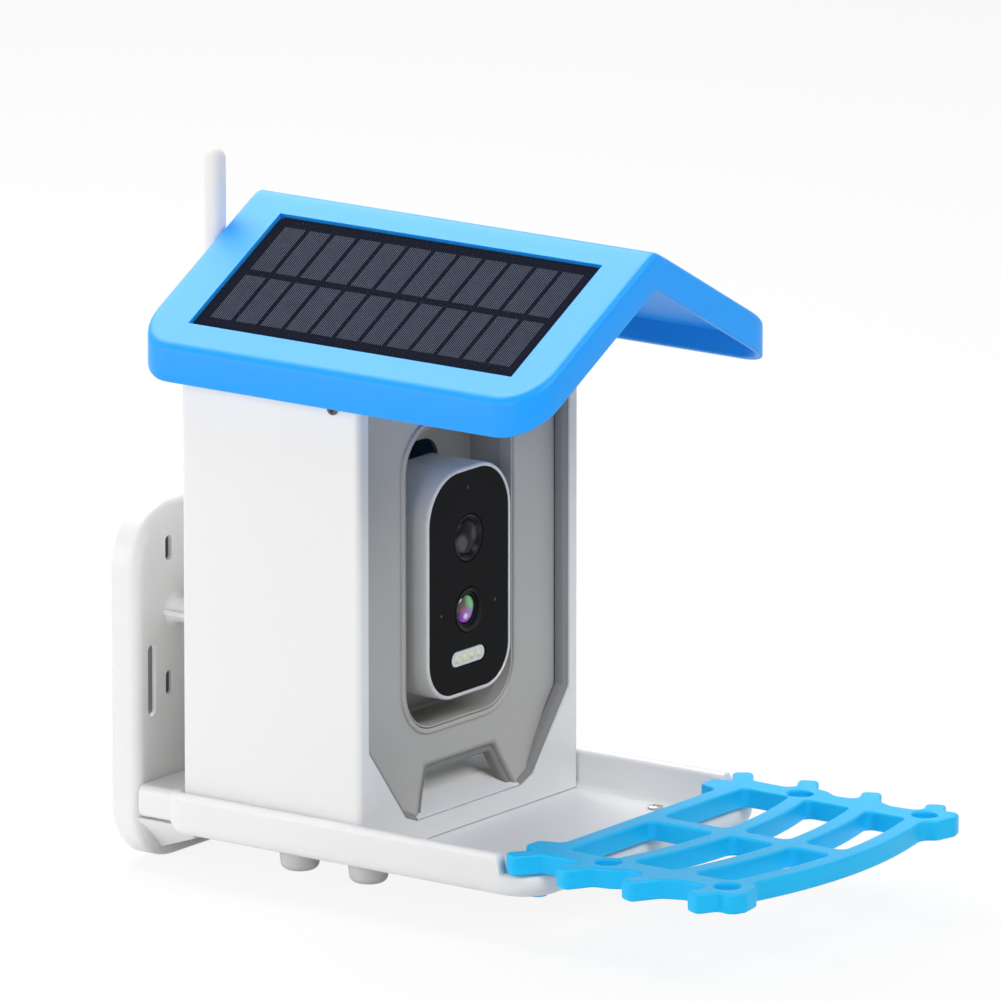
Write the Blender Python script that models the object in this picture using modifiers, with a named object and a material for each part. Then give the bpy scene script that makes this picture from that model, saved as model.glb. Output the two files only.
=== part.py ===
"""Smart bird feeder: a seed house with a hinged solar roof, a camera in its front, and a lattice perch.

Run with: blender --background --python part.py
Metres, +Z up. The front faces -Y. The origin is on the wall plate's back, midway between its strap slots.
"""
import math

import bmesh
import bpy
from mathutils import Matrix, Vector

# Running clearances shared by many pieces
fit_gap = 0.0003
slide_gap = 0.0006
hinge_gap = 0.0005
overrun = 0.004

# Wall plate
plate_width = 0.142
plate_height = 0.143
plate_rise = 0.0695
plate_depth = 0.0125
plate_corner = 0.025
plate_skin = 0.003
plate_web_width = 0.030
pillar_radius = 0.0049
pillar_spacing = 0.092
pillar_rise = 0.0644
ledge_reach = 0.0230
ledge_top_half = 0.0700
ledge_foot_half = 0.0590
ledge_foot_rise = 0.0050
ledge_thickness = 0.0035
short_slot_length = 0.010
short_slot_width = 0.0042
short_slot_spacing = 0.100
short_slot_rise = 0.0511
short_slot_drop = 0.0030
strap_slot_length = 0.0287
strap_slot_width = 0.0050
strap_slot_spacing = 0.122
strap_screw_radius = 0.0015
plate_screw_head_radius = 0.0034
plate_screw_head_height = 0.0022
plate_screw_bite = 0.006

# House
house_width = 0.144
house_depth = 0.086
house_standoff = 0.023
house_wall = 0.0025
house_corner = 0.0025
rim_rise = 0.035

# Tray
tray_overhang = 0.006
tray_height = 0.0172
tray_floor = 0.0017
tray_front_reach = 0.0880
tray_front_corner = 0.018
tray_back_corner = 0.009
tray_edge_round = 0.0024
deck_inset = 0.0070
deck_drop = 0.0015
deck_lift = 0.0025
deck_skin = 0.0025
perch_notch_reach = 0.0185
foot_radius = 0.0085
foot_drop = 0.0080
foot_spacing = 0.124
foot_pitch = 0.0332
foot_setback = 0.0031
tray_screw_radius = 0.0030
tray_screw_shank = 0.0014
tray_screw_head = 0.0012
tray_screw_spacing = 0.125
tray_screw_reach = 0.044

# Front panel, its recess and the seed outlet
strip_width = 0.0062
recess_depth = 0.0057
panel_thickness = 0.0025
recess_round = 0.0035
recess_knee_rise = 0.0266
recess_foot_half = 0.0420
recess_foot_drop = 0.0040
recess_toe_half = 0.0340
sill_drop = 0.0070
outlet_top_half = 0.0220
outlet_top_rise = 0.0110
outlet_sill_half = 0.0310
outlet_round = 0.0040
ramp_thickness = 0.002
ramp_back_rise = 0.030

# Roof
ridge_rise = 0.2253
eave_rise = 0.1798
roof_half = 0.0822
roof_band = 0.0150
roof_skin = 0.006
roof_wall = 0.003
roof_front_overhang = 0.0892
roof_back_overhang = 0.0170
roof_corner = 0.018
ridge_round = 0.006
eave_round = 0.0022
lid_clearance = 0.008
pivot_setback = 0.0122
pivot_rise = 0.1629
ear_inset = 0.0085
ear_thickness = 0.004
ear_half_width = 0.0035
pivot_pin_radius = 0.0016
pivot_head_radius = 0.0024
pivot_head_height = 0.0010
boss_radius = 0.0045
pin_running_gap = 0.00008

# Solar panel in the left slope
solar_front_margin = 0.0182
solar_back_margin = 0.0194
solar_ridge_margin = 0.0122
solar_eave_margin = 0.0140
solar_pocket_depth = 0.0034
solar_board_thickness = 0.0016
solar_glass_thickness = 0.0005
junction_length = 0.034
junction_width = 0.022
junction_height = 0.007
junction_setback = 0.030

# Camera and the pocket that holds it
pocket_half = 0.0355
pocket_bottom = 0.0261
pocket_top = 0.1475
pocket_corner = 0.018
pocket_back_setback = 0.0270
pocket_wall = 0.002
lead_slot_half = 0.0175
lead_slot_bottom = 0.1139
lead_slot_top = 0.1339
lead_slot_corner = 0.0095
camera_setback = 0.0014
camera_face_half = 0.0280
camera_face_bottom = 0.0370
camera_face_top = 0.1280
camera_top_corner = 0.0205
camera_foot_corner = 0.0165
camera_wall = 0.0018
bezel_width = 0.0020
bezel_depth = 0.0026
window_thickness = 0.0016
window_recess = 0.0003
motion_radius = 0.0094
motion_rise = 0.0995
motion_proud = 0.0012
lens_outer_radius = 0.0088
lens_inner_radius = 0.0061
lens_rise = 0.0707
lens_depth = 0.0075
lens_proud = 0.0006
lamp_length = 0.0205
lamp_height = 0.0058
lamp_rise = 0.0520
board_thickness = 0.0012
board_margin = 0.0040
battery_length = 0.050
battery_width = 0.038
battery_depth = 0.0120
battery_rise = 0.0465
speaker_radius = 0.0070
speaker_depth = 0.003
speaker_rise = 0.1180
button_radius = 0.0030
button_length = 0.0034
button_proud = 0.0010
button_offset = 0.0072
button_wall_gap = 0.00015
cover_length = 0.010
cover_width = 0.0065
cover_thickness = 0.0012
cover_offset = 0.0002

# Antenna
antenna_offset = 0.0185
antenna_plate_clearance = 0.0270
antenna_socket_radius = 0.0048
antenna_socket_length = 0.0155
knuckle_width = 0.0095
knuckle_cheek = 0.0026
knuckle_height = 0.013
knuckle_depth = 0.0085
blade_width = 0.0090
blade_depth = 0.0050
blade_reach = 0.1100
blade_round = 0.0030
blade_pin_radius = 0.0011

# Perch
perch_thickness = 0.0080
perch_lap = 0.0070
perch_bar = 0.0082
perch_rear_reach = 0.0815
perch_front_reach = 0.1827
perch_half = 0.0700
perch_bow = 0.0085
perch_spike_reach = 0.0140
perch_spike_width = 0.0072
perch_spike_back = 0.0095
perch_claw_reach = 0.0100
perch_inner_half = 0.0580
perch_boss_radius = 0.0095
perch_hole_radius = 0.0050
perch_front_hole_half = 0.0657
perch_rear_hole_half = 0.0640
perch_edge = 0.0008
peg_radius = 0.0052
peg_setback = 0.0070
peg_half = 0.0580
peg_drop = 0.0020
bar_rear_share = 0.345
bar_middle_share = 0.640

# Levels and lines that the sizes above set
plate_bottom_z = plate_rise - plate_height
rim_z = plate_bottom_z + rim_rise
pillar_z = rim_z + pillar_rise
plate_front_y = -plate_depth
house_back_y = plate_front_y - house_standoff
front_y = house_back_y - house_depth
house_half = house_width / 2
inner_half = house_half - house_wall
ridge_z = rim_z + ridge_rise
roof_fall = (ridge_rise - eave_rise) / roof_half
roof_angle = math.atan(roof_fall)
roof_front_y = front_y - roof_front_overhang
roof_back_y = house_back_y + roof_back_overhang
tray_bottom_z = rim_z - tray_height
tray_floor_z = tray_bottom_z + tray_floor
tray_half = house_half + tray_overhang
tray_inner_half = house_half + fit_gap
tray_wall = tray_half - tray_inner_half
tray_front_y = front_y - tray_front_reach
tray_back_y = plate_front_y - fit_gap
deck_front_y = house_back_y + fit_gap
tray_rear_y = deck_front_y + tray_wall
deck_half = tray_half - deck_inset
deck_bottom_z = tray_bottom_z + deck_lift
deck_top_z = rim_z - deck_drop
perch_top_z = rim_z - perch_lap + perch_thickness
perch_bottom_z = rim_z - perch_lap
pivot_y = front_y + pivot_setback
pivot_z = rim_z + pivot_rise
panel_back_y = front_y + recess_depth + panel_thickness
pocket_back_y = front_y + pocket_back_setback
camera_front_y = front_y + camera_setback
camera_back_y = pocket_back_y - fit_gap
antenna_z = plate_rise + antenna_plate_clearance


def clear_scene():
    """Removes every object, so that the script can be run again in an open file."""
    for thing in list(bpy.data.objects):
        bpy.data.objects.remove(thing, do_unlink=True)


def make_collection(name):
    """Returns a new collection under the scene's own."""
    group = bpy.data.collections.new(name)
    bpy.context.scene.collection.children.link(group)
    return group


def make_material(name, color, roughness, metallic=0.0, alpha=1.0):
    """A Principled material from a linear colour, a roughness and a metallic value."""
    material = bpy.data.materials.new(name)
    material.use_nodes = True
    shader = material.node_tree.nodes["Principled BSDF"]
    shader.inputs["Base Color"].default_value = (*color, 1.0)
    shader.inputs["Roughness"].default_value = roughness
    shader.inputs["Metallic"].default_value = metallic
    shader.inputs["Alpha"].default_value = alpha
    return material


clear_scene()
parts = make_collection("smart_bird_feeder")
cutters = make_collection("cutters")

white_plastic = make_material("white_plastic", (0.86, 0.86, 0.86), 0.42)
shade_plastic = make_material("shade_plastic", (0.62, 0.62, 0.62), 0.45)
blue_plastic = make_material("blue_plastic", (0.045, 0.42, 0.95), 0.40)
solar_navy = make_material("solar_navy", (0.010, 0.012, 0.030), 0.25)
clear_cover = make_material("clear_cover", (0.80, 0.85, 0.90), 0.05, alpha=0.25)
black_gloss = make_material("black_gloss", (0.008, 0.008, 0.009), 0.12)
black_matte = make_material("black_matte", (0.020, 0.020, 0.022), 0.50)
lens_coating = make_material("lens_coating", (0.10, 0.05, 0.22), 0.05)
lamp_diffuser = make_material("lamp_diffuser", (0.88, 0.88, 0.80), 0.30)
screw_steel = make_material("screw_steel", (0.45, 0.45, 0.46), 0.35, 1.0)
circuit_green = make_material("circuit_green", (0.02, 0.16, 0.06), 0.45)
cell_wrap = make_material("cell_wrap", (0.05, 0.18, 0.42), 0.35)
foot_rubber = make_material("foot_rubber", (0.55, 0.55, 0.55), 0.80)


def new_object(name, mesh, material, group=None):
    """Links a mesh as a named object. A cutter gets no material and stays out of the build."""
    thing = bpy.data.objects.new(name, mesh)
    (group or parts).objects.link(thing)
    if material is None:
        thing.hide_render = True
        thing.display_type = 'WIRE'
    else:
        mesh.materials.clear()
        mesh.materials.append(material)
    return thing


def group_for(material):
    """The parts' collection for a piece that has a material, or the cutters' for one that has none."""
    return cutters if material is None else parts


def tidy_mesh(mesh, merge=0.000005):
    """Welds the seams that a conversion leaves, and turns every face outwards."""
    work = bmesh.new()
    work.from_mesh(mesh)
    bmesh.ops.remove_doubles(work, verts=work.verts, dist=merge)
    bmesh.ops.recalc_face_normals(work, faces=work.faces)
    work.to_mesh(mesh)
    work.free()


def smooth(thing, angle=math.radians(35)):
    """Shades a piece smooth, with its hard edges kept."""
    thing.data.shade_smooth()
    thing.data.set_sharp_from_angle(angle=angle)
    return thing


def block(name, low, high, material=None):
    """A box between two corners, from a cube primitive whose scale is applied."""
    low = Vector(low)
    high = Vector(high)
    bpy.ops.mesh.primitive_cube_add(size=1.0, location=(0, 0, 0))
    thing = bpy.context.active_object
    size = high - low
    middle = (high + low) / 2
    thing.data.transform(Matrix.Translation(middle) @ Matrix.Diagonal((*size, 1.0)))
    return rehome(thing, name, material)


def rehome(thing, name, material):
    """Moves a primitive into its own collection under its own name."""
    for group in list(thing.users_collection):
        group.objects.unlink(thing)
    thing.name = name
    thing.data.name = name
    group_for(material).objects.link(thing)
    if material is None:
        thing.hide_render = True
        thing.display_type = 'WIRE'
    else:
        thing.data.materials.append(material)
    return thing


axis_turns = {
    'X': Matrix.Rotation(math.pi / 2, 4, 'Y'),
    'Y': Matrix.Rotation(-math.pi / 2, 4, 'X'),
    'Z': Matrix.Identity(4),
}


def rod(name, start, length, radius, axis, material=None, sides=24, end_radius=None):
    """A cylinder or cone that runs from start for a length along +axis."""
    top = radius if end_radius is None else end_radius
    mesh = bpy.data.meshes.new(name)
    work = bmesh.new()
    bmesh.ops.create_cone(work, cap_ends=True, segments=sides, radius1=radius, radius2=top, depth=length)
    bmesh.ops.translate(work, verts=work.verts, vec=(0, 0, length / 2))
    bmesh.ops.transform(work, verts=work.verts, matrix=Matrix.Translation(start) @ axis_turns[axis])
    bmesh.ops.recalc_face_normals(work, faces=work.faces)
    work.to_mesh(mesh)
    work.free()
    return smooth(new_object(name, mesh, material, group_for(material)))


def rounded(points, steps=4):
    """Rounds the corners of an outline. Each point is (u, v, radius), and a radius of zero stays sharp.

    An arc touches both sides of its corner, and is held to under half of the shorter side.
    """
    outline = []
    count = len(points)
    for index, (u, v, radius) in enumerate(points):
        corner = Vector((u, v))
        before = Vector(points[index - 1][:2]) - corner
        after = Vector(points[(index + 1) % count][:2]) - corner
        if radius <= 0 or before.length == 0 or after.length == 0:
            outline.append((u, v))
            continue
        half = before.angle(after) / 2
        reach = min(radius / math.tan(half), before.length * arc_share, after.length * arc_share)
        bend = reach * math.tan(half)
        start = corner + before.normalized() * reach
        middle = corner + (before.normalized() + after.normalized()).normalized() * bend / math.sin(half)
        sweep = math.pi - 2 * half
        spin = (start - middle)
        sign = 1 if before.x * after.y - before.y * after.x < 0 else -1
        for step in range(steps + 1):
            turn = Matrix.Rotation(sign * sweep * step / steps, 2)
            outline.append(tuple(middle + turn @ spin))
    return outline


arc_share = 0.49


def box_outline(low_u, high_u, low_v, high_v, radius, steps=5):
    """A rectangle with four round corners."""
    corners = [(low_u, low_v), (high_u, low_v), (high_u, high_v), (low_u, high_v)]
    return rounded([(u, v, radius) for u, v in corners], steps)


def place_flat(axis):
    """The turn from an outline's own plane to the plane square to an axis.

    u and v become Y and Z on an X slab, X and Z on a Y slab, and X and Y on a Z slab.
    """
    columns = {
        'X': Matrix(((0, 0, 1, 0), (1, 0, 0, 0), (0, 1, 0, 0), (0, 0, 0, 1))),
        'Y': Matrix(((1, 0, 0, 0), (0, 0, 1, 0), (0, 1, 0, 0), (0, 0, 0, 1))),
        'Z': Matrix.Identity(4),
    }
    return columns[axis]


def slab(name, outlines, low, high, axis, material=None):
    """A flat outline, with any inner outlines as holes, filled and given its thickness along an axis."""
    curve = bpy.data.curves.new(name, 'CURVE')
    curve.dimensions = '2D'
    curve.fill_mode = 'BOTH'
    curve.extrude = (high - low) / 2
    for outline in outlines:
        spline = curve.splines.new('POLY')
        spline.points.add(len(outline) - 1)
        for point, (u, v) in zip(spline.points, outline):
            point.co = (u, v, 0, 1)
        spline.use_cyclic_u = True
    shape = bpy.data.objects.new(name + "_curve", curve)
    cutters.objects.link(shape)
    bpy.context.view_layer.update()
    evaluated = shape.evaluated_get(bpy.context.evaluated_depsgraph_get())
    mesh = bpy.data.meshes.new_from_object(evaluated)
    bpy.data.objects.remove(shape, do_unlink=True)
    mesh.name = name
    lift = Matrix.Translation((0, 0, (high + low) / 2))
    mesh.transform(place_flat(axis) @ lift)
    tidy_mesh(mesh)
    return new_object(name, mesh, material, group_for(material))


def loft(name, rings, material=None):
    """A closed solid through rings of like counts of points, capped at both ends."""
    count = len(rings[0])
    vertices = [point for ring in rings for point in ring]
    faces = [tuple(range(count)), tuple(range(len(vertices) - count, len(vertices)))]
    for level in range(len(rings) - 1):
        for index in range(count):
            near = level * count + index
            far = level * count + (index + 1) % count
            faces.append((near, far, far + count, near + count))
    mesh = bpy.data.meshes.new(name)
    mesh.from_pydata(vertices, [], faces)
    tidy_mesh(mesh)
    return new_object(name, mesh, material, group_for(material))


def cut(thing, *tools):
    """Takes the tools' shapes out of a piece."""
    for tool in tools:
        boolean = thing.modifiers.new("cut", 'BOOLEAN')
        boolean.operation = 'DIFFERENCE'
        boolean.object = tool
    return thing


def join(thing, *tools):
    """Grows a piece by the tools' shapes."""
    for tool in tools:
        boolean = thing.modifiers.new("join", 'BOOLEAN')
        boolean.operation = 'UNION'
        boolean.object = tool
    return thing


def keep(thing, tool):
    """Keeps only what a piece shares with a tool."""
    boolean = thing.modifiers.new("keep", 'BOOLEAN')
    boolean.operation = 'INTERSECT'
    boolean.object = tool
    return thing


def soften(thing, width, segments=1, angle=math.radians(50)):
    """Takes the sharpness off the hard edges."""
    bevel = thing.modifiers.new("soften", 'BEVEL')
    bevel.width = width
    bevel.segments = segments
    bevel.limit_method = 'ANGLE'
    bevel.angle_limit = angle
    return thing


def pivot(name, place, *pieces):
    """Hangs pieces on an empty that stands on their joint's axis."""
    handle = bpy.data.objects.new(name, None)
    parts.objects.link(handle)
    handle.location = place
    bpy.context.view_layer.update()
    for piece in pieces:
        piece.parent = handle
        piece.matrix_parent_inverse = handle.matrix_world.inverted()
    return handle


def sides():
    """The two sides of a symmetric pair, as a word and a sign."""
    return (("left", -1), ("right", 1))


def gable(x, drop):
    """The height of a line that lies a drop below the roof's top."""
    return ridge_z - drop - roof_fall * abs(x)


def build_wall_plate():
    """The plate that is screwed or strapped to a wall or a post, with a tapered ledge under the tray."""
    bottom = plate_bottom_z
    outline = box_outline(-plate_width / 2, plate_width / 2, bottom, plate_rise, plate_corner, 6)
    plate = slab("wall_plate", [outline], -plate_depth, 0, 'Y', white_plastic)
    soften(plate, plate_skin / 2, 1)
    for word, sign in sides():
        near = plate_web_width / 2
        far = plate_width / 2 - plate_skin
        low, high = sorted((sign * near, sign * far))
        radius = plate_corner - plate_skin
        corners = [(low, bottom + plate_skin, 0), (high, bottom + plate_skin, 0),
                   (high, plate_rise - plate_skin, 0), (low, plate_rise - plate_skin, 0)]
        outer = (1, 2) if sign > 0 else (0, 3)
        shaped = [(u, v, radius if index in outer else 0) for index, (u, v, _) in enumerate(corners)]
        hollow = slab("plate_hollow_" + word, [rounded(shaped, 5)], plate_front_y + plate_skin, overrun, 'Y')
        cut(plate, hollow)
    ledge_low = bottom + ledge_foot_rise
    ledge_high = tray_bottom_z - fit_gap
    front = plate_front_y - ledge_reach
    inside = plate_front_y + plate_skin / 2
    step = tray_rear_y + fit_gap
    profile = [(inside, ledge_low), (inside, deck_bottom_z - fit_gap), (step, deck_bottom_z - fit_gap),
               (step, ledge_high), (front, ledge_high), (front, ledge_high - ledge_thickness)]
    ledge = slab("plate_ledge", [profile], -ledge_top_half, ledge_top_half, 'X')
    taper = [(-ledge_foot_half, ledge_low), (ledge_foot_half, ledge_low), (ledge_top_half, deck_bottom_z),
             (-ledge_top_half, deck_bottom_z)]
    keep(ledge, slab("ledge_taper", [taper], front - overrun, overrun, 'Y'))
    join(plate, ledge)
    for word, sign in sides():
        x = sign * pillar_spacing / 2
        pillar_length = house_standoff - fit_gap + plate_skin / 2
        start = (x, house_back_y + fit_gap, pillar_z)
        pillar = rod("plate_pillar_" + word, start, pillar_length, pillar_radius, 'Y')
        join(plate, pillar)
    for word, sign in sides():
        cut(plate, *plate_slots(word, sign))
        x = sign * pillar_spacing / 2
        z = pillar_z
        cut(plate, rod("plate_screw_way_" + word, (x, house_back_y - overrun, z),
                       house_standoff + plate_depth + overrun, strap_screw_radius + fit_gap, 'Y', sides=16))
    return smooth(plate)


def plate_slots(word, sign):
    """Cutters for the keyhole slots and the strap slots on one side of the plate."""
    tools = []
    x = sign * short_slot_spacing / 2
    for place, middle in (("high", short_slot_rise), ("low", -short_slot_drop)):
        outline = box_outline(x - short_slot_width / 2, x + short_slot_width / 2,
                              middle - short_slot_length / 2, middle + short_slot_length / 2,
                              short_slot_width * arc_share, 3)
        name = "short_slot_" + place + "_" + word
        tools.append(slab(name, [outline], -plate_depth - overrun, overrun, 'Y'))
    x = sign * strap_slot_spacing / 2
    outline = box_outline(x - strap_slot_width / 2, x + strap_slot_width / 2,
                          -strap_slot_length / 2, strap_slot_length / 2, strap_slot_width * arc_share, 3)
    tools.append(slab("strap_slot_" + word, [outline], -plate_depth - overrun, overrun, 'Y'))
    return tools


def build_plate_screws():
    """Two screws that run from the plate's hollow, through its pillars, into the house's back wall."""
    for word, sign in sides():
        x = sign * pillar_spacing / 2
        z = pillar_z
        head_y = plate_front_y + plate_skin + fit_gap
        reach = house_standoff + plate_skin + plate_screw_bite
        shank = rod("plate_screw_" + word, (x, head_y - reach, z), reach + plate_screw_head_height / 2,
                    strap_screw_radius, 'Y', screw_steel, 12)
        head = rod("plate_screw_head_" + word, (x, head_y, z), plate_screw_head_height,
                   plate_screw_head_radius, 'Y', None, 16, plate_screw_head_radius * screw_dome_share)
        join(shank, head)


screw_dome_share = 0.75


def build_house_shell():
    """The tall white shell: two sides and a back, front strips, and gable tops under the roof."""
    low = tray_floor_z + fit_gap
    high = ridge_z
    outer = box_outline(-house_half, house_half, front_y, house_back_y, house_corner, 3)
    shell = slab("house_shell", [outer], low, high, 'Z', white_plastic)
    inner = box_outline(-inner_half, inner_half, front_y + recess_depth - fit_gap,
                        house_back_y - house_wall, 0)
    cut(shell, slab("house_hollow", [inner], low - overrun, high + overrun, 'Z'))
    cut(shell, slab("house_mouth", [recess_outline()], front_y - overrun, front_y + recess_depth, 'Y'))
    edge = house_half + overrun
    over = [(-edge, gable(edge, roof_skin + lid_clearance)), (0, gable(0, roof_skin + lid_clearance)),
            (edge, gable(edge, roof_skin + lid_clearance)), (edge, high + overrun), (-edge, high + overrun)]
    cut(shell, slab("house_gable", [over], front_y - overrun, house_back_y + overrun, 'Y'))
    for word, sign in sides():
        start_x = min(sign * (inner_half + house_wall / 2), sign * (ear_outer_x() + slide_gap))
        length = abs(inner_half + house_wall / 2 - ear_outer_x() - slide_gap)
        join(shell, rod("pivot_boss_" + word, (start_x, pivot_y, pivot_z), length, boss_radius, 'X'))
    for word, sign in sides():
        start_x = -(house_half + overrun) if sign < 0 else ear_outer_x()
        length = house_half + overrun - ear_outer_x()
        radius = pivot_pin_radius + pin_running_gap
        cut(shell, rod("pivot_way_" + word, (start_x, pivot_y, pivot_z), length, radius, 'X', sides=16))
        x = sign * pillar_spacing / 2
        cut(shell, rod("back_screw_way_" + word, (x, house_back_y - house_wall - overrun, pillar_z),
                       house_wall + overrun * 2, strap_screw_radius + fit_gap, 'Y', sides=16))
    socket_way = antenna_socket_radius * socket_neck_share + fit_gap
    cut(shell, rod("antenna_way", (-antenna_offset, house_back_y - house_wall - overrun, antenna_z),
                   house_wall + overrun * 2, socket_way, 'Y', sides=20))
    return smooth(shell)


def ear_outer_x():
    """How far out the roof's ears reach inside the house walls."""
    return house_half - ear_inset + slide_gap


def recess_outline():
    """The opening in the front wall: straight sides, and knees that draw in to a sill between two toes."""
    half = house_half - strip_width
    right = [(half, ridge_z + overrun, 0), (half, rim_z + recess_knee_rise, recess_round),
             (recess_foot_half, rim_z - recess_foot_drop, recess_round),
             (recess_toe_half, rim_z - sill_drop, recess_round)]
    left = [(-x, z, radius) for x, z, radius in reversed(right)]
    return rounded(right + left, 3)


def panel_outline():
    """The front panel's edge: gable at the top, stepped down for the roof's ears, square at the foot."""
    half = inner_half - fit_gap
    low = tray_floor_z + fit_gap
    slot_half = ear_outer_x() - ear_thickness - slide_gap * 2
    slot_z = pivot_z - boss_radius - slide_gap
    drop = roof_skin + lid_clearance
    right = [(half, low), (half, slot_z), (slot_half, slot_z), (slot_half, gable(slot_half, drop)),
             (0, gable(0, drop))]
    left = [(-x, z) for x, z in reversed(right[:-1])]
    return right + left


def outlet_outline(grow):
    """The seed outlet between the panel's two feet, narrower at the top, grown outwards by a gap."""
    low = rim_z - sill_drop
    right = [(outlet_sill_half + grow, low, 0), (outlet_top_half + grow, rim_z + outlet_top_rise, outlet_round)]
    left = [(-x, z, radius) for x, z, radius in reversed(right)]
    return rounded(right + left, 4)


def build_front_panel():
    """The front panel behind the front wall's opening, with the camera's window and the seed outlet."""
    face = front_y + recess_depth
    panel = slab("front_panel", [panel_outline()], face, panel_back_y, 'Y', shade_plastic)
    cut(panel, slab("panel_window", [pocket_ring(0)], face - overrun, panel_back_y + overrun, 'Y'))
    cut(panel, slab("seed_outlet", [outlet_outline(0)], face - overrun, panel_back_y + overrun, 'Y'))
    return smooth(panel)


def outlet_half(z):
    """Half the outlet's width at a height."""
    rise = (z - rim_z + sill_drop) / (outlet_top_rise + sill_drop)
    return outlet_sill_half + (outlet_top_half - outlet_sill_half) * rise


def ramp_height(y):
    """The height of the ramp's upper face, which falls from the back wall to the outlet's sill."""
    sill = rim_z - sill_drop + fit_gap + ramp_thickness
    back = rim_z + ramp_back_rise
    return sill + (back - sill) * (y - front_y) / (house_back_y - house_wall - front_y)


def build_seed_ramp():
    """The sloping floor that lets seed run forward to the outlet."""
    toe = front_y + fit_gap
    step = panel_back_y + fit_gap
    heel = house_back_y - house_wall - fit_gap
    down = ramp_thickness
    body_half = inner_half - fit_gap
    profile = [(toe, ramp_height(toe)), (heel, ramp_height(heel)), (heel, ramp_height(heel) - down),
               (toe, ramp_height(toe) - down)]
    ramp = slab("seed_ramp", [profile], -body_half, body_half, 'X', white_plastic)
    half = outlet_half(ramp_height(step)) - slide_gap
    for word, sign in sides():
        low, high = sorted((sign * half, sign * (body_half + overrun)))
        cut(ramp, block("ramp_notch_" + word, (low, toe - overrun, tray_bottom_z), (high, step, pivot_z)))
    for word, sign in sides():
        x = sign * (body_half - ramp_leg_inset)
        leg = block("ramp_leg_" + word, (x - down / 2, heel - ramp_leg_depth, tray_floor_z + fit_gap),
                    (x + down / 2, heel - fit_gap, ramp_height(heel - ramp_leg_depth) - down / 2))
        join(ramp, leg)
    return ramp


ramp_leg_inset = 0.012
ramp_leg_depth = 0.005


def build_camera_pocket():
    """The tub behind the panel that the camera slides into, with a wide slot for its lead."""
    front = panel_back_y + fit_gap
    back = pocket_back_y + pocket_wall
    tub = slab("camera_pocket", [pocket_ring(pocket_wall)], front, back, 'Y', shade_plastic)
    cut(tub, slab("pocket_hollow", [pocket_ring(0)], panel_back_y - overrun, pocket_back_y, 'Y'))
    lead_slot = box_outline(-lead_slot_half, lead_slot_half, rim_z + lead_slot_bottom, rim_z + lead_slot_top,
                            lead_slot_corner, 6)
    cut(tub, slab("lead_slot", [lead_slot], pocket_back_y - overrun, back + overrun, 'Y'))
    return smooth(tub)


def pocket_ring(grow):
    """The outline of the pocket, grown outwards by a wall."""
    return box_outline(-pocket_half - grow, pocket_half + grow, rim_z + pocket_bottom - grow,
                       rim_z + pocket_top + grow, pocket_corner + grow, 6)


def build_seed_tray():
    """The tray under the house: a round-cornered dish, lowered for the perch, with a deck behind the house."""
    corners = [(-tray_half, tray_front_y, tray_front_corner), (tray_half, tray_front_y, tray_front_corner),
               (tray_half, tray_rear_y, tray_back_corner), (-tray_half, tray_rear_y, tray_back_corner)]
    outline = rounded(corners, 6)
    tray = slab("seed_tray", [outline], tray_bottom_z, rim_z, 'Z', white_plastic)
    soften(tray, tray_edge_round, 2)
    wall = tray_wall
    inner = rounded([(-tray_inner_half, tray_front_y + wall, tray_front_corner - wall),
                     (tray_inner_half, tray_front_y + wall, tray_front_corner - wall),
                     (tray_inner_half, deck_front_y, 0), (-tray_inner_half, deck_front_y, 0)], 6)
    cut(tray, slab("tray_hollow", [inner], tray_floor_z, rim_z + overrun, 'Z'))
    deck_low = (-deck_half, tray_rear_y - wall / 2, deck_bottom_z)
    join(tray, block("deck", deck_low, (deck_half, tray_back_y, deck_top_z)))
    cut(tray, block("deck_hollow", (-deck_half + deck_skin, tray_rear_y, deck_bottom_z + deck_skin),
                    (deck_half - deck_skin, 0, deck_top_z - deck_skin)))
    notch_back = tray_front_y + perch_notch_reach
    cut(tray, block("perch_notch", (-tray_half - overrun, tray_front_y - overrun, perch_bottom_z - fit_gap),
                    (tray_half + overrun, notch_back, rim_z + overrun)))
    for word, sign in sides():
        cut(tray, rod("peg_way_" + word, (sign * peg_half, peg_y(), tray_bottom_z - overrun),
                      tray_height + overrun, peg_radius + fit_gap, 'Z'))
        start = (sign * tray_screw_spacing / 2, screw_y(), tray_bottom_z - overrun)
        cut(tray, rod("tray_screw_way_" + word, start, tray_height, tray_screw_shank + fit_gap, 'Z', sides=12))
    return smooth(tray)


def peg_y():
    """Where the perch's pegs stand, just behind its rear bar's back edge."""
    return front_y - perch_rear_reach + peg_setback


def screw_y():
    """Where the two screws in the tray's floor stand."""
    return front_y - tray_screw_reach


def build_tray_screws():
    """Two small screws in the tray's floor, in front of the house."""
    for word, sign in sides():
        place = (sign * tray_screw_spacing / 2, screw_y(), tray_bottom_z - tray_screw_head)
        top = tray_floor_z + fit_gap
        shank = rod("tray_screw_" + word, place, top + tray_screw_head / 2 - place[2], tray_screw_shank, 'Z',
                    screw_steel, 12)
        head = rod("tray_screw_head_" + word, (place[0], place[1], top), tray_screw_head, tray_screw_radius,
                   'Z', None, 16, tray_screw_radius * screw_dome_share)
        join(shank, head)


def build_feet():
    """Four soft round feet under the tray."""
    for row, word_row in enumerate(("front", "rear")):
        for word, sign in sides():
            y = front_y + foot_setback + row * foot_pitch
            top = tray_bottom_z - fit_gap
            low = top - foot_drop
            start = (sign * foot_spacing / 2, y, low)
            foot = rod("foot_" + word_row + "_" + word, start, foot_drop, foot_radius * foot_taper_share, 'Z',
                       foot_rubber, 24, foot_radius)
            soften(foot, foot_drop * foot_taper_share / 3, 2)
            smooth(foot)


foot_taper_share = 0.80


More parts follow.
